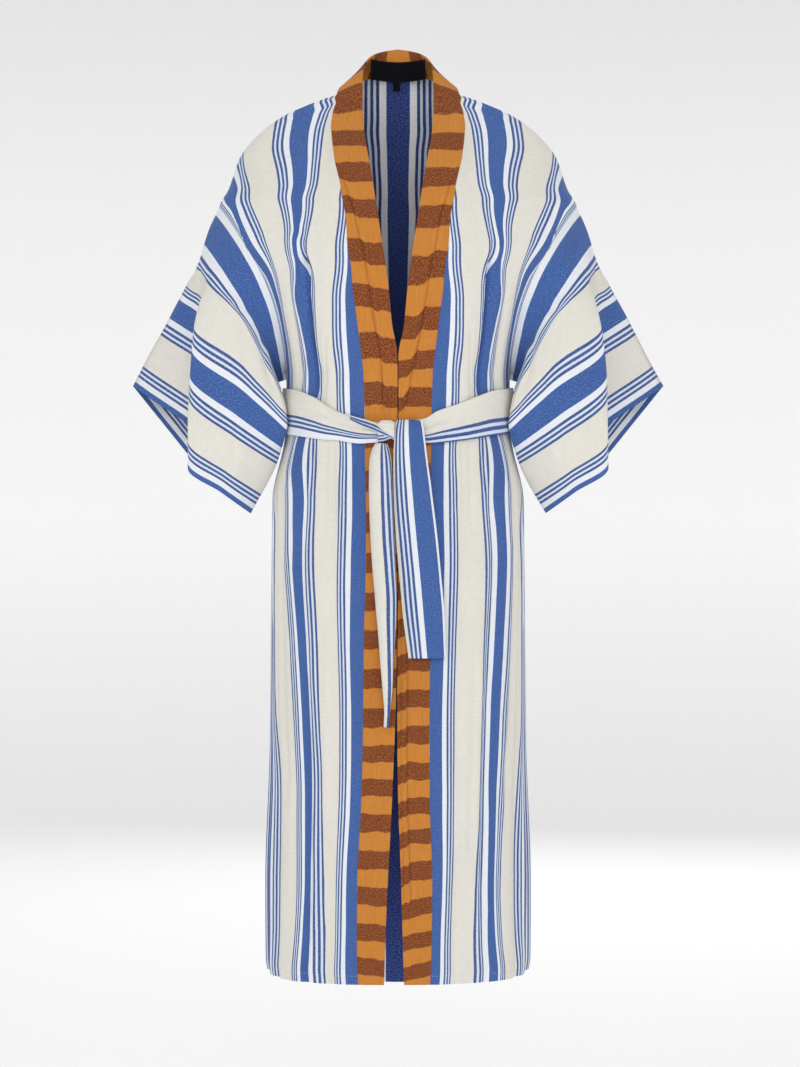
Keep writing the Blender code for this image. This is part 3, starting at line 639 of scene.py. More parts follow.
def edge_fade(shape, rows, columns, reach=5):
    """0 on the named edges (first, last) and 1 a few steps inside."""
    fade = np.ones(shape)
    for axis, named in enumerate((rows, columns)):
        steps = np.arange(shape[axis]).reshape((-1, 1) if axis == 0 else (1, -1))
        for on_edge, away in zip(named, (steps, shape[axis] - 1 - steps)):
            if on_edge:
                fade = fade * unit(away / reach)
    return ease(fade)


def into_scene(name, data):
    obj = bpy.data.objects.new(name, data)
    bpy.context.scene.collection.objects.link(obj)
    return obj


def finished(name, mesh, material):
    """The mesh with its material and soft shading, as an object in the scene."""
    mesh.polygons.foreach_set("use_smooth", np.ones(len(mesh.polygons), bool))
    mesh.materials.append(material)
    return into_scene(name, mesh)


def shell(name, grid, side, thickness, u, v, material):
    """A closed thin sheet from a grid of middle points, with cloth coordinates as its UV map."""
    normal = grid_normals(grid) * side
    rows, columns = grid.shape[:2]
    count = rows * columns
    points = np.concatenate([
        (grid + normal * thickness / 2).reshape(-1, 3),
        (grid - normal * thickness / 2).reshape(-1, 3),
    ])
    at = np.arange(count).reshape(rows, columns)
    quads = np.stack([at[:-1, :-1], at[:-1, 1:], at[1:, 1:], at[1:, :-1]], axis=-1).reshape(-1, 4)
    loop = np.concatenate([at[0, :], at[1:, -1], at[-1, -2::-1], at[-2:0:-1, 0]])
    after = np.roll(loop, -1)
    wall = np.stack([loop, loop + count, after + count, after], axis=-1)
    faces = np.concatenate([quads, quads[:, ::-1] + count, wall])
    a, b, c = (points[quads[:, k]] for k in (0, 1, 2))
    facing = np.einsum("ij,ij->i", np.cross(b - a, c - a), normal.reshape(-1, 3)[quads[:, 0]])
    if facing.mean() < 0:
        faces = faces[:, ::-1]
    mesh = bpy.data.meshes.new(name)
    mesh.from_pydata((points * MM).tolist(), [], faces.tolist())
    layer = mesh.uv_layers.new(name="cloth")
    order = np.empty(len(mesh.loops), np.int64)
    mesh.loops.foreach_get("vertex_index", order)
    u, v = (np.broadcast_to(a, (rows, columns)).ravel() for a in (u, v))
    uv = np.stack([np.tile(u, 2), np.tile(v, 2)], axis=-1) * MM
    layer.data.foreach_set("uv", uv[order].astype(np.float32).reshape(-1))
    ends = np.empty(len(mesh.edges) * 2, np.int64)
    mesh.edges.foreach_get("vertices", ends)
    rim = set(zip(loop.tolist(), after.tolist())) | set(zip(after.tolist(), loop.tolist()))
    sharp = [
        (p % count, q % count) in rim and (p < count) == (q < count)
        for p, q in ends.reshape(-1, 2).tolist()
    ]
    mesh.edges.foreach_set("use_edge_sharp", sharp)
    return finished(name, mesh, material)


class Shader:
    """Short calls for building one node material."""

    def __init__(self, name, roughness, sheen):
        self.material = bpy.data.materials.new(name)
        self.material.use_nodes = True
        self.nodes = self.material.node_tree.nodes
        self.links = self.material.node_tree.links
        self.base = self.nodes["Principled BSDF"]
        self.base.inputs["Roughness"].default_value = roughness
        self.base.inputs["Sheen Weight"].default_value = sheen
        self.base.inputs["Sheen Roughness"].default_value = 0.5
        self.base.inputs["Specular IOR Level"].default_value = 0.25

    def put(self, socket, value):
        if isinstance(value, bpy.types.NodeSocket):
            self.links.new(value, socket)
        elif value is not None:
            socket.default_value = value

    def math(self, operation, a, b=None):
        node = self.nodes.new("ShaderNodeMath")
        node.operation = operation
        for socket, value in zip(node.inputs, (a, b)):
            self.put(socket, value)
        return node.outputs[0]

    def times(self, a, b):
        return self.math("MULTIPLY", a, b)

    def plus(self, a, b):
        return self.math("ADD", a, b)

    def minus(self, a, b):
        return self.math("SUBTRACT", a, b)

    def swing(self, noise, size):
        """The noise laid evenly round nought."""
        return self.times(self.minus(noise, 0.5), size)

    def vector(self, x, y, z=0.0):
        node = self.nodes.new("ShaderNodeCombineXYZ")
        for socket, value in zip(node.inputs, (x, y, z)):
            self.put(socket, value)
        return node.outputs[0]

    def noise(self, a, a_scale, b, b_scale, z=0.0, detail=2.0, rough=0.5):
        node = self.nodes.new("ShaderNodeTexNoise")
        self.put(node.inputs["Vector"], self.vector(self.times(a, a_scale), self.times(b, b_scale), z))
        node.inputs["Scale"].default_value = 1.0
        node.inputs["Detail"].default_value = detail
        node.inputs["Roughness"].default_value = rough
        return node.outputs["Fac"]

    def mix(self, factor, a, b, blend="MIX"):
        node = self.nodes.new("ShaderNodeMix")
        node.data_type = "RGBA"
        node.blend_type = blend
        self.put(node.inputs["Factor"], factor)
        self.put(node.inputs["A"], a)
        self.put(node.inputs["B"], b)
        return node.outputs["Result"]

    def ramp(self, value, stops):
        node = self.nodes.new("ShaderNodeValToRGB")
        elements = node.color_ramp.elements
        while len(elements) > 1:
            elements.remove(elements[0])
        elements[0].position = stops[0][0]
        elements[0].color = stops[0][1]
        for position, colour in stops[1:]:
            elements.new(position).color = colour
        self.put(node.inputs["Fac"], value)
        return node.outputs["Color"]

    def step(self, value, low, high):
        """0 below low, 1 above high."""
        node = self.nodes.new("ShaderNodeMapRange")
        self.put(node.inputs["Value"], value)
        node.inputs["From Min"].default_value = low
        node.inputs["From Max"].default_value = high
        return node.outputs["Result"]

    def cloth_uv(self):
        uv = self.nodes.new("ShaderNodeUVMap")
        uv.uv_map = "cloth"
        u, v, _ = self.parts(uv.outputs["UV"])
        return self.times(u, 1000.0), self.times(v, 1000.0)

    def parts(self, vector):
        split = self.nodes.new("ShaderNodeSeparateXYZ")
        self.links.new(vector, split.inputs["Vector"])
        return split.outputs

    def place(self):
        return self.parts(self.nodes.new("ShaderNodeTexCoord").outputs["Object"])

    def luma(self, colour):
        node = self.nodes.new("ShaderNodeRGBToBW")
        self.links.new(colour, node.inputs["Color"])
        return node.outputs["Val"]

    def bump(self, height, distance, strength):
        node = self.nodes.new("ShaderNodeBump")
        node.inputs["Strength"].default_value = strength
        node.inputs["Distance"].default_value = distance
        self.put(node.inputs["Height"], height)
        self.links.new(node.outputs["Normal"], self.base.inputs["Normal"])


CREAM = (0.755, 0.730, 0.665, 1)
WHITE = (0.80, 0.83, 0.87, 1)
BLUE = (0.034, 0.100, 0.335, 1)
LINE = (0.040, 0.078, 0.255, 1)
GAP = (0.66, 0.74, 0.86, 1)
# Painted shade and light for the inside of the back: darker blue and lines, brighter white.
BLUE_PAINTED_SHADE = (0.018, 0.045, 0.24, 1)
LINE_PAINTED_SHADE = (0.015, 0.035, 0.16, 1)
WHITE_PAINTED_LIGHT = (0.92, 0.93, 0.95, 1)
FLECK = (0.42, 0.52, 0.74, 1)
# Colour bands of half a repeat: ends at this distance from the middle of the broad blue stripe.
STRIPES = [
    (16.0, BLUE), (25.5, WHITE), (29.7, LINE), (33.4, GAP), (37.6, LINE), (41.3, GAP), (45.5, LINE),
    (75.5, CREAM),
]
HALF_REPEAT = 75.5
EDGE = 0.0028
THREAD_GRAIN = 900.0
THREAD = 1.15
WEFT = 1.0


def plain_weave(sh, u, v):
    """Height of over-and-under threads, with uneven thickness."""
    thick = sh.noise(u, 0.55, v, 0.05)
    thin = sh.noise(u, 0.04, v, 0.6, 7.0)
    bend = sh.swing(thin, 1.6)
    across = sh.math("SINE", sh.times(sh.plus(u, bend), 2 * math.pi / THREAD))
    along = sh.math("SINE", sh.times(sh.plus(v, bend), 2 * math.pi / WEFT))
    cross = sh.times(across, along)
    slubs = sh.plus(sh.times(thick, 1.1), sh.times(thin, 1.5))
    return sh.plus(sh.times(cross, 0.35), slubs), thick, thin


def stripe_cloth(name, swaps=()):
    """The striped cloth; swaps puts another colour in place of one of the stripes' colours."""
    sh = Shader(name, 0.88, 0.12)
    u, v = sh.cloth_uv()
    height, thick, thin = plain_weave(sh, u, v)
    drift = sh.noise(v, 0.012, u, 0.03, 3.0, detail=1.0)
    tooth = sh.noise(v, 1.1, u, 0.08, 11.0, detail=1.0)
    offset = sh.plus(sh.swing(drift, 2.4), sh.swing(tooth, 1.3))
    place = sh.plus(u, offset)
    folded = sh.math("DIVIDE", sh.math("PINGPONG", place, HALF_REPEAT), HALF_REPEAT)
    stops = []
    last = 0.0
    for end, colour in STRIPES:
        colour = dict(swaps).get(colour, colour)
        stops.append((last / HALF_REPEAT + (EDGE if last else 0), colour))
        stops.append((end / HALF_REPEAT - (EDGE if end < HALF_REPEAT else 0), colour))
        last = end
    colour = sh.ramp(folded, stops)
    # Pale weft shows as short flecks and fine ribs where the warp is blue.
    fleck = sh.noise(u, 0.42, v, 0.9, 5.0, rough=0.7)
    dark = sh.step(sh.minus(1.0, sh.luma(colour)), 0.55, 0.8)
    fleck = sh.times(sh.times(sh.step(fleck, 0.50, 0.70), 0.42), dark)
    colour = sh.mix(fleck, colour, FLECK)
    shade = sh.plus(sh.times(thick, 0.14), sh.times(thin, 0.16))
    broad = sh.noise(u, 0.02, v, 0.008, 9.0, detail=3.0)
    shade = sh.plus(shade, sh.times(broad, 0.10))
    grey = sh.plus(shade, 0.80)
    colour = sh.mix(1.0, colour, sh.vector(grey, grey, grey), "MULTIPLY")
    sh.put(sh.base.inputs["Base Color"], colour)
    sh.bump(height, 0.00022, 0.55)
    return sh.material


ORANGE = (0.62, 0.240, 0.040, 1)
ORANGE_DEEP = (0.47, 0.160, 0.028, 1)
BROWN = (0.160, 0.038, 0.010, 1)
BROWN_FLECK = (0.62, 0.215, 0.065, 1)


def bar_cloth(name):
    """The band's cloth, barred across its length."""
    sh = Shader(name, 0.9, 0.06)
    u, v = sh.cloth_uv()
    height, thick, thin = plain_weave(sh, u, v)
    wander = sh.noise(u, 0.05, v, 0.03, 2.0, detail=1.0)
    tooth = sh.noise(u, 0.9, v, 0.06, 6.0, detail=1.0)
    offset = sh.plus(sh.swing(wander, 7.0), sh.swing(tooth, 2.2))
    place = sh.math("DIVIDE", sh.plus(v, offset), 2 * BAR)
    wave = sh.math("SINE", sh.times(place, 2 * math.pi))
    brown = sh.step(wave, -0.07, 0.07)
    fleck = sh.noise(u, 0.62, v, 0.55, 5.0, detail=3.0, rough=0.8)
    dark = sh.mix(sh.times(sh.step(fleck, 0.49, 0.60), 0.60), BROWN, BROWN_FLECK)
    light = sh.mix(sh.times(sh.step(thick, 0.35, 0.75), 0.5), ORANGE, ORANGE_DEEP)
    colour = sh.mix(brown, light, dark)
    shade = sh.plus(sh.times(thin, 0.20), 0.88)
    colour = sh.mix(1.0, colour, sh.vector(shade, shade, shade), "MULTIPLY")
    sh.put(sh.base.inputs["Base Color"], colour)
    sh.bump(height, 0.00028, 0.6)
    return sh.material


def tape(name):
    """Smooth dark tape with a fine satin rib."""
    sh = Shader(name, 0.8, 0.0)
    sh.put(sh.base.inputs["Specular IOR Level"], 0.05)
    u, v = sh.cloth_uv()
    rib = sh.math("SINE", sh.times(v, 2 * math.pi / 0.5))
    grain = sh.noise(u, 2.0, v, 6.0)
    tone = sh.ramp(grain, [(0.3, (0.003, 0.003, 0.004, 1)), (0.75, (0.009, 0.008, 0.010, 1))])
    sh.put(sh.base.inputs["Base Color"], tone)
    sh.bump(sh.plus(sh.times(rib, 0.3), grain), 0.0001, 0.5)
    return sh.material


def thread(name, colour):
    sh = Shader(name, 0.7, 0.1)
    x, y, z = sh.place()
    grain = sh.noise(x, THREAD_GRAIN, y, THREAD_GRAIN, sh.times(z, THREAD_GRAIN))
    low = tuple(k * 0.75 for k in colour[:3]) + (1,)
    sh.put(sh.base.inputs["Base Color"], sh.mix(grain, low, colour))
    sh.bump(grain, 0.0002, 0.5)
    return sh.material


def stitches(name, runs, material, pitch, length, radius):
    """Small raised stitches along lines of (points, normals), all in one mesh."""
    ring = 5
    points = []
    faces = []
    for line, normals in runs:
        line = np.asarray(line, float)
        step = np.linalg.norm(np.diff(line, axis=0), axis=-1)
        at = np.concatenate([[0], np.cumsum(step)])
        count = int(at[-1] / pitch)
        for n in range(count):
            middle = (n + 0.5) * pitch
            ends = []
            for d in (-length / 2, -length / 4, length / 4, length / 2):
                p = np.array([np.interp(middle + d, at, line[:, k]) for k in range(3)])
                m = np.array([np.interp(middle + d, at, normals[:, k]) for k in range(3)])
                ends.append((p, m / max(np.linalg.norm(m), 1e-9)))
            forward = ends[-1][0] - ends[0][0]
            forward /= max(np.linalg.norm(forward), 1e-9)
            first = len(points)
            for k, (p, m) in enumerate(ends):
                side = np.cross(forward, m)
                tip = k in (0, 3)
                size = radius * (0.35 if tip else 1.0)
                lift = -0.12 if tip else 0.14
                for q in range(ring):
                    angle = 2 * math.pi * q / ring
                    wide = side * size * 1.3 * math.cos(angle)
                    points.append(p + m * (lift + size * math.sin(angle)) + wide)
            for k in range(3):
                for q in range(ring):
                    r = (q + 1) % ring
                    a, b = first + k * ring, first + (k + 1) * ring
                    faces.append((a + q, a + r, b + r, b + q))
            faces.append(tuple(first + q for q in range(ring - 1, -1, -1)))
            faces.append(tuple(first + 3 * ring + q for q in range(ring)))
    mesh = bpy.data.meshes.new(name)
    mesh.from_pydata((np.array(points) * MM).tolist(), [], faces)
    made = bmesh.new()
    made.from_mesh(mesh)
    bmesh.ops.recalc_face_normals(made, faces=made.faces[:])
    made.to_mesh(mesh)
    made.free()
    return finished(name, mesh, material)


def on_face(grid, side, thickness):
    """Points and normals of a sheet's outer face."""
    normal = grid_normals(grid) * side
    return grid + normal * thickness / 2, normal


def line_at(points, normals, axis, position):
    """A line along the grid at a fractional row or column."""
    low = int(math.floor(position))
    t = position - low
    if axis == "column":
        return (
            points[:, low] * (1 - t) + points[:, low + 1] * t,
            normals[:, low] * (1 - t) + normals[:, low + 1] * t,
        )
    return points[low] * (1 - t) + points[low + 1] * t, normals[low] * (1 - t) + normals[low + 1] * t


def sewn_piece(node, grid, side, thickness, u, v, cloth, seams, sewing,
               kind="cloth", pitch=5.0, length=2.0, radius=0.2):
    """A sheet with its lines of stitches; seams are ("row" or "column", place on the grid)."""
    obj = shell(f"{node}_{kind}", grid, side, thickness, u, v, cloth)
    points, normals = on_face(grid, side, thickness)
    runs = [line_at(points, normals, axis, place) for axis, place in seams]
    sewn = stitches(f"{node}_stitches", runs, sewing, pitch, length, radius)
    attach(obj, "root")
    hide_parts(node)
    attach(sewn, "root")


# Creases of the panels: side (0 both, -1 wearer's right), width, depth, then points (c, height).
FRONT_CREASES = [
    (0, 7, 2.4, [(118, -150), (126, -215), (134, -300), (128, -372)]),
    (0, 6, 1.6, [(160, -205), (152, -262), (146, -330)]),
    (0, 6, 1.3, [(60, -300), (74, -350), (84, -405)]),
    (0, 7, 1.5, [(30, -330), (40, -372), (44, -412)]),
    (0, 6, 1.4, [(84, -448), (80, -500), (78, -575)]),
    (0, 7, 1.5, [(150, -452), (160, -520), (158, -620)]),
    (0, 6, 1.2, [(40, -450), (34, -490), (36, -550)]),
    (0, 9, 1.3, [(92, -700), (98, -850), (96, -1000)]),
    (0, 9, 1.2, [(180, -760), (176, -900), (184, -1060)]),
    (-1, 8, 1.1, [(20, -640), (24, -720), (20, -800)]),
    (1, 8, 1.1, [(60, -820), (56, -930), (62, -1040)]),
    (0, 7, 1.4, [(285, -470), (280, -560), (286, -700)]),
    (0, 5, 1.3, [(104, -402), (100, -378), (104, -350)]),
    (0, 5, 1.1, [(172, -404), (168, -380), (176, -340)]),
    (0, 5, 1.2, [(210, -402), (204, -372), (212, -330)]),
    (0, 5, 1.3, [(112, -446), (116, -480), (112, -525)]),
    (0, 5, 1.1, [(186, -446), (190, -474), (186, -515)]),
    (-1, 6, 1.4, [(62, -448), (58, -500), (50, -560)]),
    (1, 6, 1.4, [(58, -448), (64, -490), (60, -540)]),
    (-1, 6, 1.5, [(112, -188), (140, -184), (176, -176)]),
    (-1, 7, 1.6, [(100, -262), (120, -226), (150, -196)]),
]
BACK_CREASES = [
    (0, 8, 1.8, [(40, -90), (70, -140), (110, -175)]),
    (0, 8, 1.6, [(150, -130), (190, -190), (225, -270)]),
    (0, 7, 1.5, [(110, -300), (104, -350), (100, -398)]),
    (0, 7, 1.4, [(30, -330), (34, -370), (34, -402)]),
    (0, 7, 1.4, [(180, -320), (170, -360), (168, -400)]),
    (0, 7, 1.7, [(36, -442), (40, -500), (38, -590)]),
    (0, 7, 1.6, [(104, -445), (106, -520), (104, -640)]),
    (0, 8, 1.5, [(176, -446), (180, -540), (176, -700)]),
    (0, 9, 1.3, [(20, -700), (26, -860), (20, -1020)]),
    (0, 9, 1.3, [(250, -520), (246, -700), (252, -900)]),
]
# Creases of the sleeves: width, depth, then points (p, share of the way round).
SLEEVE_CREASES = [
    (9, 2.0, [(20, 150), (70, 128), (130, 112), (190, 104)]),
    (8, 1.6, [(10, 95), (50, 88), (110, 70), (170, 66)]),
    (8, 1.3, [(40, 60), (90, 48), (150, 40)]),
    (9, 1.5, [(60, 290), (130, 300), (210, 320)]),
    (9, 1.3, [(30, 350), (90, 345), (170, 370)]),
    (8, 1.2, [(200, 130), (260, 120), (312, 122)]),
]


def dressed(grid, u, v, side, creases, swell, fade, seed, sign=0):
    """The grid with its small creases and swell added along the normal."""
    normal = grid_normals(grid) * side
    lift = swell * unevenness(u, v, seed)
    for which, width, depth, line in creases:
        if which == 0 or which == sign:
            lift = lift + crease(u, v, line, width, depth)
    return grid + normal * (lift * fade)[..., None]


stripe = stripe_cloth("stripe_cloth")
# The back's cloth carries painted shade and light where its inside shows in the neck and at the hem: blue and
# lines darker for the shadow inside the robe, whites brighter for light reaching in.
back_stripe_painted_light = stripe_cloth("back_stripe_cloth", [(BLUE, BLUE_PAINTED_SHADE), (LINE, LINE_PAINTED_SHADE), (WHITE, WHITE_PAINTED_LIGHT)])
bars = bar_cloth("bar_cloth")
dark_tape = tape("dark_tape")
pale_thread = thread("pale_thread", (0.80, 0.78, 0.72, 1))
rust_thread = thread("rust_thread", (0.42, 0.17, 0.05, 1))
black_thread = thread("black_thread", (0.02, 0.02, 0.022, 1))


def stripe_places(c, x, z, skirt_rows):
    """Stripe distance on a front, drawn in at the chest and laid to its places on the skirt."""
    height = z[:, c.shape[1] // 3]
    chest = look_up(CHEST_C, height)
    edges = look_up(skirt_rows, height)
    skirt = np.array([np.interp(e, np.maximum.accumulate(row), at) for e, row, at in zip(edges, x, c)])
    skirt[:, -1] = np.clip(skirt[:, -1], 250, 285)
    # A running mean down the skirt takes the folds' small steps out of the lines.
    mean = np.ones(STRIPE_MEAN) / STRIPE_MEAN
    for k in range(skirt.shape[1]):
        padded = np.pad(skirt[:, k], STRIPE_MEAN // 2, mode="edge")
        skirt[:, k] = np.convolve(padded, mean, "valid")
    out = c.copy()
    for i in range(len(c)):
        if height[i] > WAIST_Z:
            places, names, low, high, share = chest[i], CHEST_EDGES, 60.0, 290.0, 1.0
        else:
            places, names, low, high = skirt[i], SKIRT_EDGES, -20.0, SIDE_C
            share = unit((WAIST_Z - 16 - height[i]) / 45)
        moved = np.interp(c[i], [low, *places, high], [low, *names, high])
        inside = (c[i] > low) & (c[i] < high)
        out[i] = np.where(inside, c[i] + share * (moved - c[i]), c[i])
    return out


def hand_of(sign):
    return "right" if sign < 0 else "left"


def make_front(sign):
    hand = hand_of(sign)
    grid, c = front_grid(sign)
    reach = np.abs(c) * np.sign(c * sign)
    fade = edge_fade(grid.shape[:2], (True, False), (True, True))
    grid = dressed(grid, reach, grid[..., 2], -sign, FRONT_CREASES, 0.9, fade, 1 + sign * 0.3, sign)
    u = stripe_places(reach, sign * grid[..., 0], grid[..., 2], SKIRT_RIGHT if sign < 0 else SKIRT_LEFT)
    sewn_piece(f"front_{hand}", grid, -sign, SINGLE, u, -grid[..., 2], stripe, [("row", HEM_LINE)],
               pale_thread)


def make_back():
    grid, c = back_grid()
    fade = edge_fade(grid.shape[:2], (True, False), (True, True))
    grid = dressed(grid, np.abs(c), grid[..., 2], 1, BACK_CREASES, 1.0, fade, 2.0)
    z = grid[..., 2]
    # The stripes hang straight below the neck, and the middle one spreads a little at the hem.
    near = unit((z + 60) / 40) * unit((85 - np.abs(c)) / 30)
    low = unit((-760 - z) / 300)
    u = c + near * (grid[..., 0] - c) - 0.34 * c * np.exp(-((c / 50) ** 2)) * low
    # The back wears the cloth with painted shade on its blue and lines and painted light on its white.
    sewn_piece("back", grid, 1, SINGLE, u, -z, back_stripe_painted_light, [("row", HEM_LINE)],
               pale_thread)


def make_sleeve(sign):
    grid, p = sleeve_grid(sign)
    way = distances(grid)
    fade = edge_fade(grid.shape[:2], (True, True), (True, False))
    creases = [(0,) + row for row in SLEEVE_CREASES]
    grid = dressed(grid, p, way, sign, creases, 0.9, fade, 3 + sign * 0.4)
    sewn_piece(f"sleeve_{hand_of(sign)}", grid, sign, SINGLE, p - SLEEVE_STRIPE, way, stripe,
               [("column", SLEEVE_STEPS - HEM_IN)], pale_thread)


def make_band(sign):
    hand = hand_of(sign)
    grid, across, along = band_grid(sign)
    u = np.broadcast_to(across[None, :], grid.shape[:2])
    v = np.broadcast_to(along[:, None], grid.shape[:2])
    normal = grid_normals(grid) * -sign
    # The doubled strip is rounded at its free edge and carries a narrow lengthwise fold above the belt.
    share = across / across[-1]
    z = grid[..., 2]
    swell = 0.7 * np.sin(np.pi * unit(share)) ** 0.7
    line = value_at(FOLD_RIGHT if sign < 0 else FOLD_LEFT, z)
    pressed = unit((z + 425) / 20) * unit((-85 - z) / 40)
    fold = -2.6 * np.exp(-(((share - line) / FOLD_WIDTH) ** 2)) * pressed
    beyond = unit((share - line) / 0.12) * pressed
    lower = 5.0 if sign < 0 else np.interp(-z, [190, 330], [2.0, 12.0])
    # Below the belt the wearer's left half has two folds of its own.
    low_part = unit((-470 - z) / 40) * unit((z + 1090) / 60) * (sign > 0)
    for place, depth, offset in ((0.70, 2.0, 4.0), (0.90, 1.6, 3.0)):
        fold = fold - depth * np.exp(-(((share - place) / FOLD_WIDTH) ** 2)) * low_part
        beyond = beyond + unit((share - place) / 0.08) * low_part * offset / 5.0
    slant = (10.0 if sign > 0 else 4.0) * share * unit((-930 - z) / 170)
    v = v + beyond * np.where(z > WAIST_Z, lower, 5.0) + slant
    uneven = 0.5 * unevenness(u * 2.0, v, 4 + sign)
    ends = unit(np.arange(grid.shape[0])[::-1] / 4)[:, None]
    fade = edge_fade(grid.shape[:2], (False, True), (True, True), 2)
    grid = grid + normal * ((swell[None, :] + fold + uneven) * fade * ends)[..., None]
    sewn_piece(f"band_{hand}", grid, -sign, DOUBLED, u, v, bars, [("column", 0.7), ("row", HEM_IN)],
               rust_thread)


def make_belt():
    grid = belt_grid()
    turn = np.linspace(0, 1, grid.shape[0])[:, None]
    round_share = 1 - np.abs(2 * turn - 1)
    j = np.linspace(0, 1, grid.shape[1])[None, :]
    way = distances(grid)
    normal = grid_normals(grid)
    # Gathers run along the belt and deepen towards the knot.
    near = np.exp(-((round_share / 0.16) ** 2))
    pleats = 1.6 * near * np.sin(j * 2 * np.pi * 3 + 1.0 + 3 * round_share)
    soft = 0.8 * np.sin(j * np.pi * 2 + way / 60) * unit(round_share / 0.1)
    slant = crease(way, j * 50, [(40, 4), (75, 24), (110, 34)], 5, 1.4)
    last = way.max()
    slant = slant + crease(way, j * 50, [(last - 110, 8), (last - 70, 22), (last - 30, 30)], 5, 1.3)
    fade = edge_fade(grid.shape[:2], (False, False), (True, True), 2)
    grid = grid + normal * ((pleats + soft + slant) * fade)[..., None]
    # Cream above, three lines, a pale edge below; more of the pale edge shows on the wearer's right.
    right = unit((0.5 - turn) / 0.08)
    u_right = np.interp(j, [0, 0.565, 0.83, 1], [80.5, 45.5, 25.5, 16.8])
    u_left = 77.0 - j * 49.5
    u = u_left + right * (u_right - u_left)
    seams = [("column", 1.0), ("column", BELT_ACROSS - 1.0)]
    sewn_piece("belt_waist", grid, 1, DOUBLED, u, way, stripe, seams,
               pale_thread)


def make_end(node, table, steps, columns, bend, wave, seed, stripe_at):
    """One hanging end of the belt; wave is (height, pleats, way per turn, reach) of its soft top."""
    grid = strap_grid(table, steps, columns, bend)
    j = np.linspace(0, 1, grid.shape[1])[None, :]
    way = distances(grid)
    height, pleats, turn, reach = wave
    lift = height * np.sin(j * pleats + way / turn) * np.exp(-way / reach)
    lift = lift + 0.5 * unevenness(j * 60, way, seed)
    fade = edge_fade(grid.shape[:2], (True, False), (False, False), 4)
    grid = grid + grid_normals(grid) * (lift * fade)[..., None]
    seams = [("column", SEAM_IN), ("column", columns - SEAM_IN), ("row", steps - 2.5)]
    sewn_piece(node, grid, 1, DOUBLED, stripe_at(j, way), way, stripe, seams, pale_thread)


def flat_end_stripes(j, way):
    """From the wearer's right: cream edge, three lines, white, blue and a thin white edge."""
    first = 47.0 + 4.0 * unit(way / 140)
    return first - j * (first + 19.5)


def narrow_end_stripes(j, way):
    return 74.0 - j * 56.0


def folded_strip(name, rows, bulge, roll, u_top, u_bottom, seed):
    """One turn of the tied belt: a strip between two drawn edges, full in its middle, rolled at its edges."""
    way = np.linspace(0, 1, 61)
    edges = smooth(np.linspace(0, 1, len(rows)), np.array(rows).reshape(len(rows), 6), way)
    top, bottom = edges[:, None, :3], edges[:, None, 3:]
    j = np.linspace(0, 1, 25)[None, :]
    grid = top * (1 - j[..., None]) + bottom * j[..., None]
    full = 1 - np.abs(2 * j - 1) ** 3
    tall = unit(np.linalg.norm(top - bottom, axis=-1) / 12)
    pleats = 0.5 * np.sin(j * 15 + 2.5 * way[:, None] + seed) * full
    grid[..., 1] -= (bulge * full - roll * (1 - full) + pleats) * tall
    v = np.broadcast_to(grid[..., 0], grid.shape[:2])
    return shell(name, grid, 1, KNOT_THICK, u_top + j * (u_bottom - u_top), v, stripe)


def make_knot():
    """The belt's tied part, as in the rows of KNOT_STRIPS."""
    for name, rows, bulge, roll, u_top, u_bottom, seed, flat, under in KNOT_STRIPS:
        obj = folded_strip(name, rows, bulge, roll, u_top, u_bottom, seed)
        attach(obj, "root")
        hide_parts("belt_knot")


def patch(name, place):
    centre_x, top_z, width, height, y_top, y_bottom, bow = place
    rows = np.linspace(0, 1, 13)[:, None]
    r = np.linspace(-1, 1, 31)[None, :]
    x = centre_x + r * width / 2 + rows * 0
    y = y_top + (y_bottom - y_top) * rows - bow * r * r
    z = top_z - height * rows + r * 0
    grid = np.stack(np.broadcast_arrays(x, y, z), axis=-1)
    u = np.broadcast_to(r * width / 2, grid.shape[:2])
    v = np.broadcast_to(rows * height, grid.shape[:2])
    seams = [("column", 0.6), ("column", 29.4)]
    if height > 20:
        seams += [("row", 0.6), ("row", 11.4)]
    sewn_piece(name, grid, -1, LABEL, u, v, dark_tape, seams, black_thread,
               kind="tape", pitch=2.6, length=1.8, radius=0.14)


make_front(-1)
make_front(1)
make_back()
make_sleeve(-1)
make_sleeve(1)
make_band(-1)
make_band(1)
make_knot()
make_belt()
make_end("belt_end_left", END_LEFT, 120, 22, shallow, (0.8, 9, 50, 90), 5,
         flat_end_stripes)
make_end("belt_end_right", END_RIGHT, 130, 26, gutter, (0.7, 11, 45, 80), 6,
         narrow_end_stripes)
patch("neck_label", LABEL_PLACE)
patch("size_tab", TAB_PLACE)


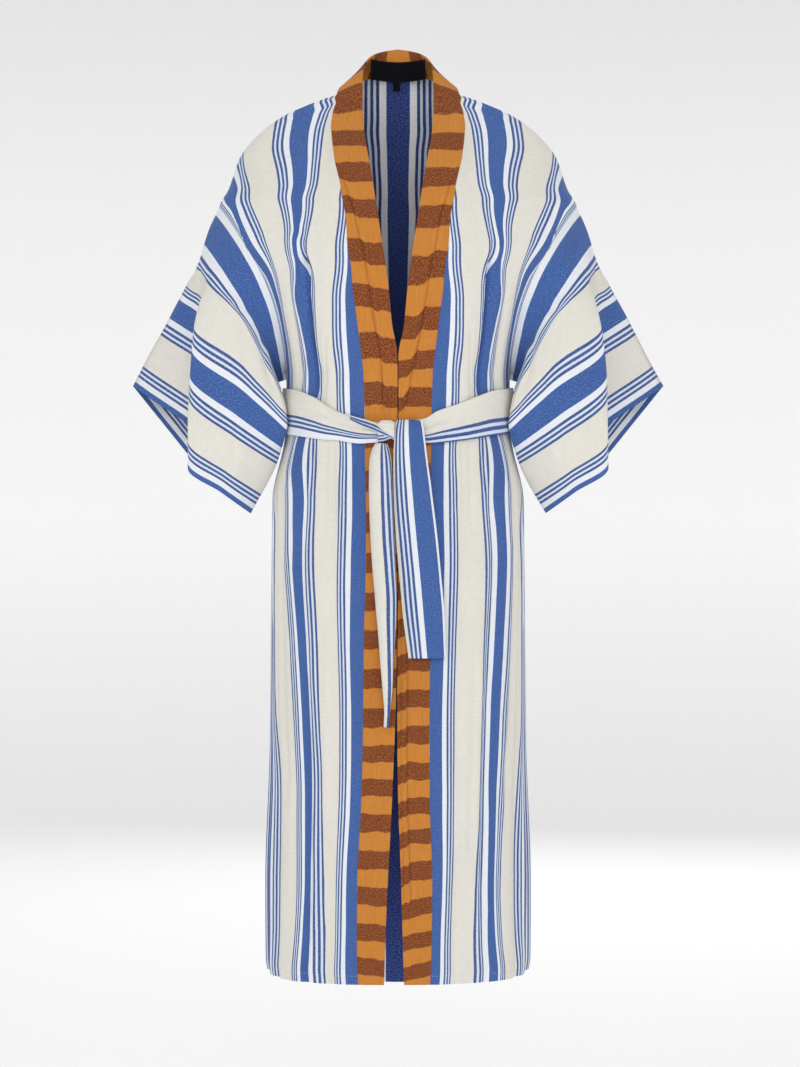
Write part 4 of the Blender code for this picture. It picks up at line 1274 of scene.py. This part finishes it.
def make_stage():
    """A pale round floor that curves up into a pale wall, so that it backs the part from every side."""
    floor_z, wall, bend, top, turns = -1.42, 8.0, 2.0, 6.5, 96
    profile = [(0.0, floor_z), (2.0, floor_z), (wall - bend, floor_z)]
    for k in range(1, 13):
        angle = math.pi / 2 * k / 12
        profile.append((wall - bend + bend * math.sin(angle), floor_z + bend - bend * math.cos(angle)))
    profile.append((wall, top))
    points = [(0.0, 0.0, floor_z)]
    for reach, z in profile[1:]:
        for k in range(turns):
            angle = 2 * math.pi * k / turns
            points.append((reach * math.cos(angle), reach * math.sin(angle), z))
    faces = [(0, 1 + k, 1 + (k + 1) % turns) for k in range(turns)]
    for row in range(len(profile) - 2):
        first = 1 + row * turns
        for k in range(turns):
            m = (k + 1) % turns
            faces.append((first + k, first + turns + k, first + turns + m, first + m))
    mesh = bpy.data.meshes.new("floor")
    mesh.from_pydata(points, [], faces)
    sh = Shader("pale_floor", 1.0, 0.0)
    sh.put(sh.base.inputs["Specular IOR Level"], 0.0)
    # Painted shade: the wall's colour darkens towards its top.
    z = sh.place()["Z"]
    high = sh.step(z, -0.6, 1.6)
    sh.put(sh.base.inputs["Base Color"], sh.mix(high, (0.90, 0.895, 0.89, 1), (0.60, 0.598, 0.597, 1)))
    # Painted light: the floor and wall glow though they are no lamp, the wall more than the floor.
    low = sh.step(z, -1.45, -0.5)
    sh.put(sh.base.inputs["Emission Color"], sh.mix(low, (0.21, 0.21, 0.21, 1), (0.33, 0.33, 0.33, 1)))
    sh.put(sh.base.inputs["Emission Strength"], 1.0)
    finished("floor", mesh, sh.material)


def make_light(name, place, target, size, power):
    data = bpy.data.lights.new(name, "AREA")
    data.shape = "RECTANGLE"
    data.size, data.size_y = size
    data.energy = power
    obj = into_scene(name, data)
    obj.location = place
    obj.rotation_euler = (Vector(target) - Vector(place)).to_track_quat("-Z", "Y").to_euler()
    obj.visible_camera = False


make_stage()
make_light("key", (-2.2, -3.8, 1.7), (0, 0, -0.5), (2.0, 2.0), 21)
make_light("fill", (2.4, -3.6, 0.4), (0, 0, -0.6), (2.2, 2.2), 10)
make_light("front", (0, -4.2, 0.3), (0, 0, -0.4), (1.6, 1.2), 30)
make_light("back", (0.8, 4.2, 1.2), (0, 0, -0.5), (2.6, 2.2), 40)
make_light("top", (0, 0.2, 3.2), (0, 0.1, -0.6), (2.6, 2.0), 22)

world = bpy.data.worlds.new("studio")
world.use_nodes = True
world.node_tree.nodes["Background"].inputs["Color"].default_value = (0.95, 0.97, 1.0, 1)
world.node_tree.nodes["Background"].inputs["Strength"].default_value = 0.33
bpy.context.scene.world = world
bpy.context.scene.view_settings.view_transform = "Standard"

lens = bpy.data.cameras.new("camera")
lens.sensor_fit = "AUTO"
lens.sensor_width = 36.0
lens.lens = 115.06
lens.clip_end = 60
eye = into_scene("camera", lens)
eye.location = (0.0026, -4.5, -0.572)
eye.rotation_euler = (math.pi / 2, 0, 0)
bpy.context.scene.camera = eye
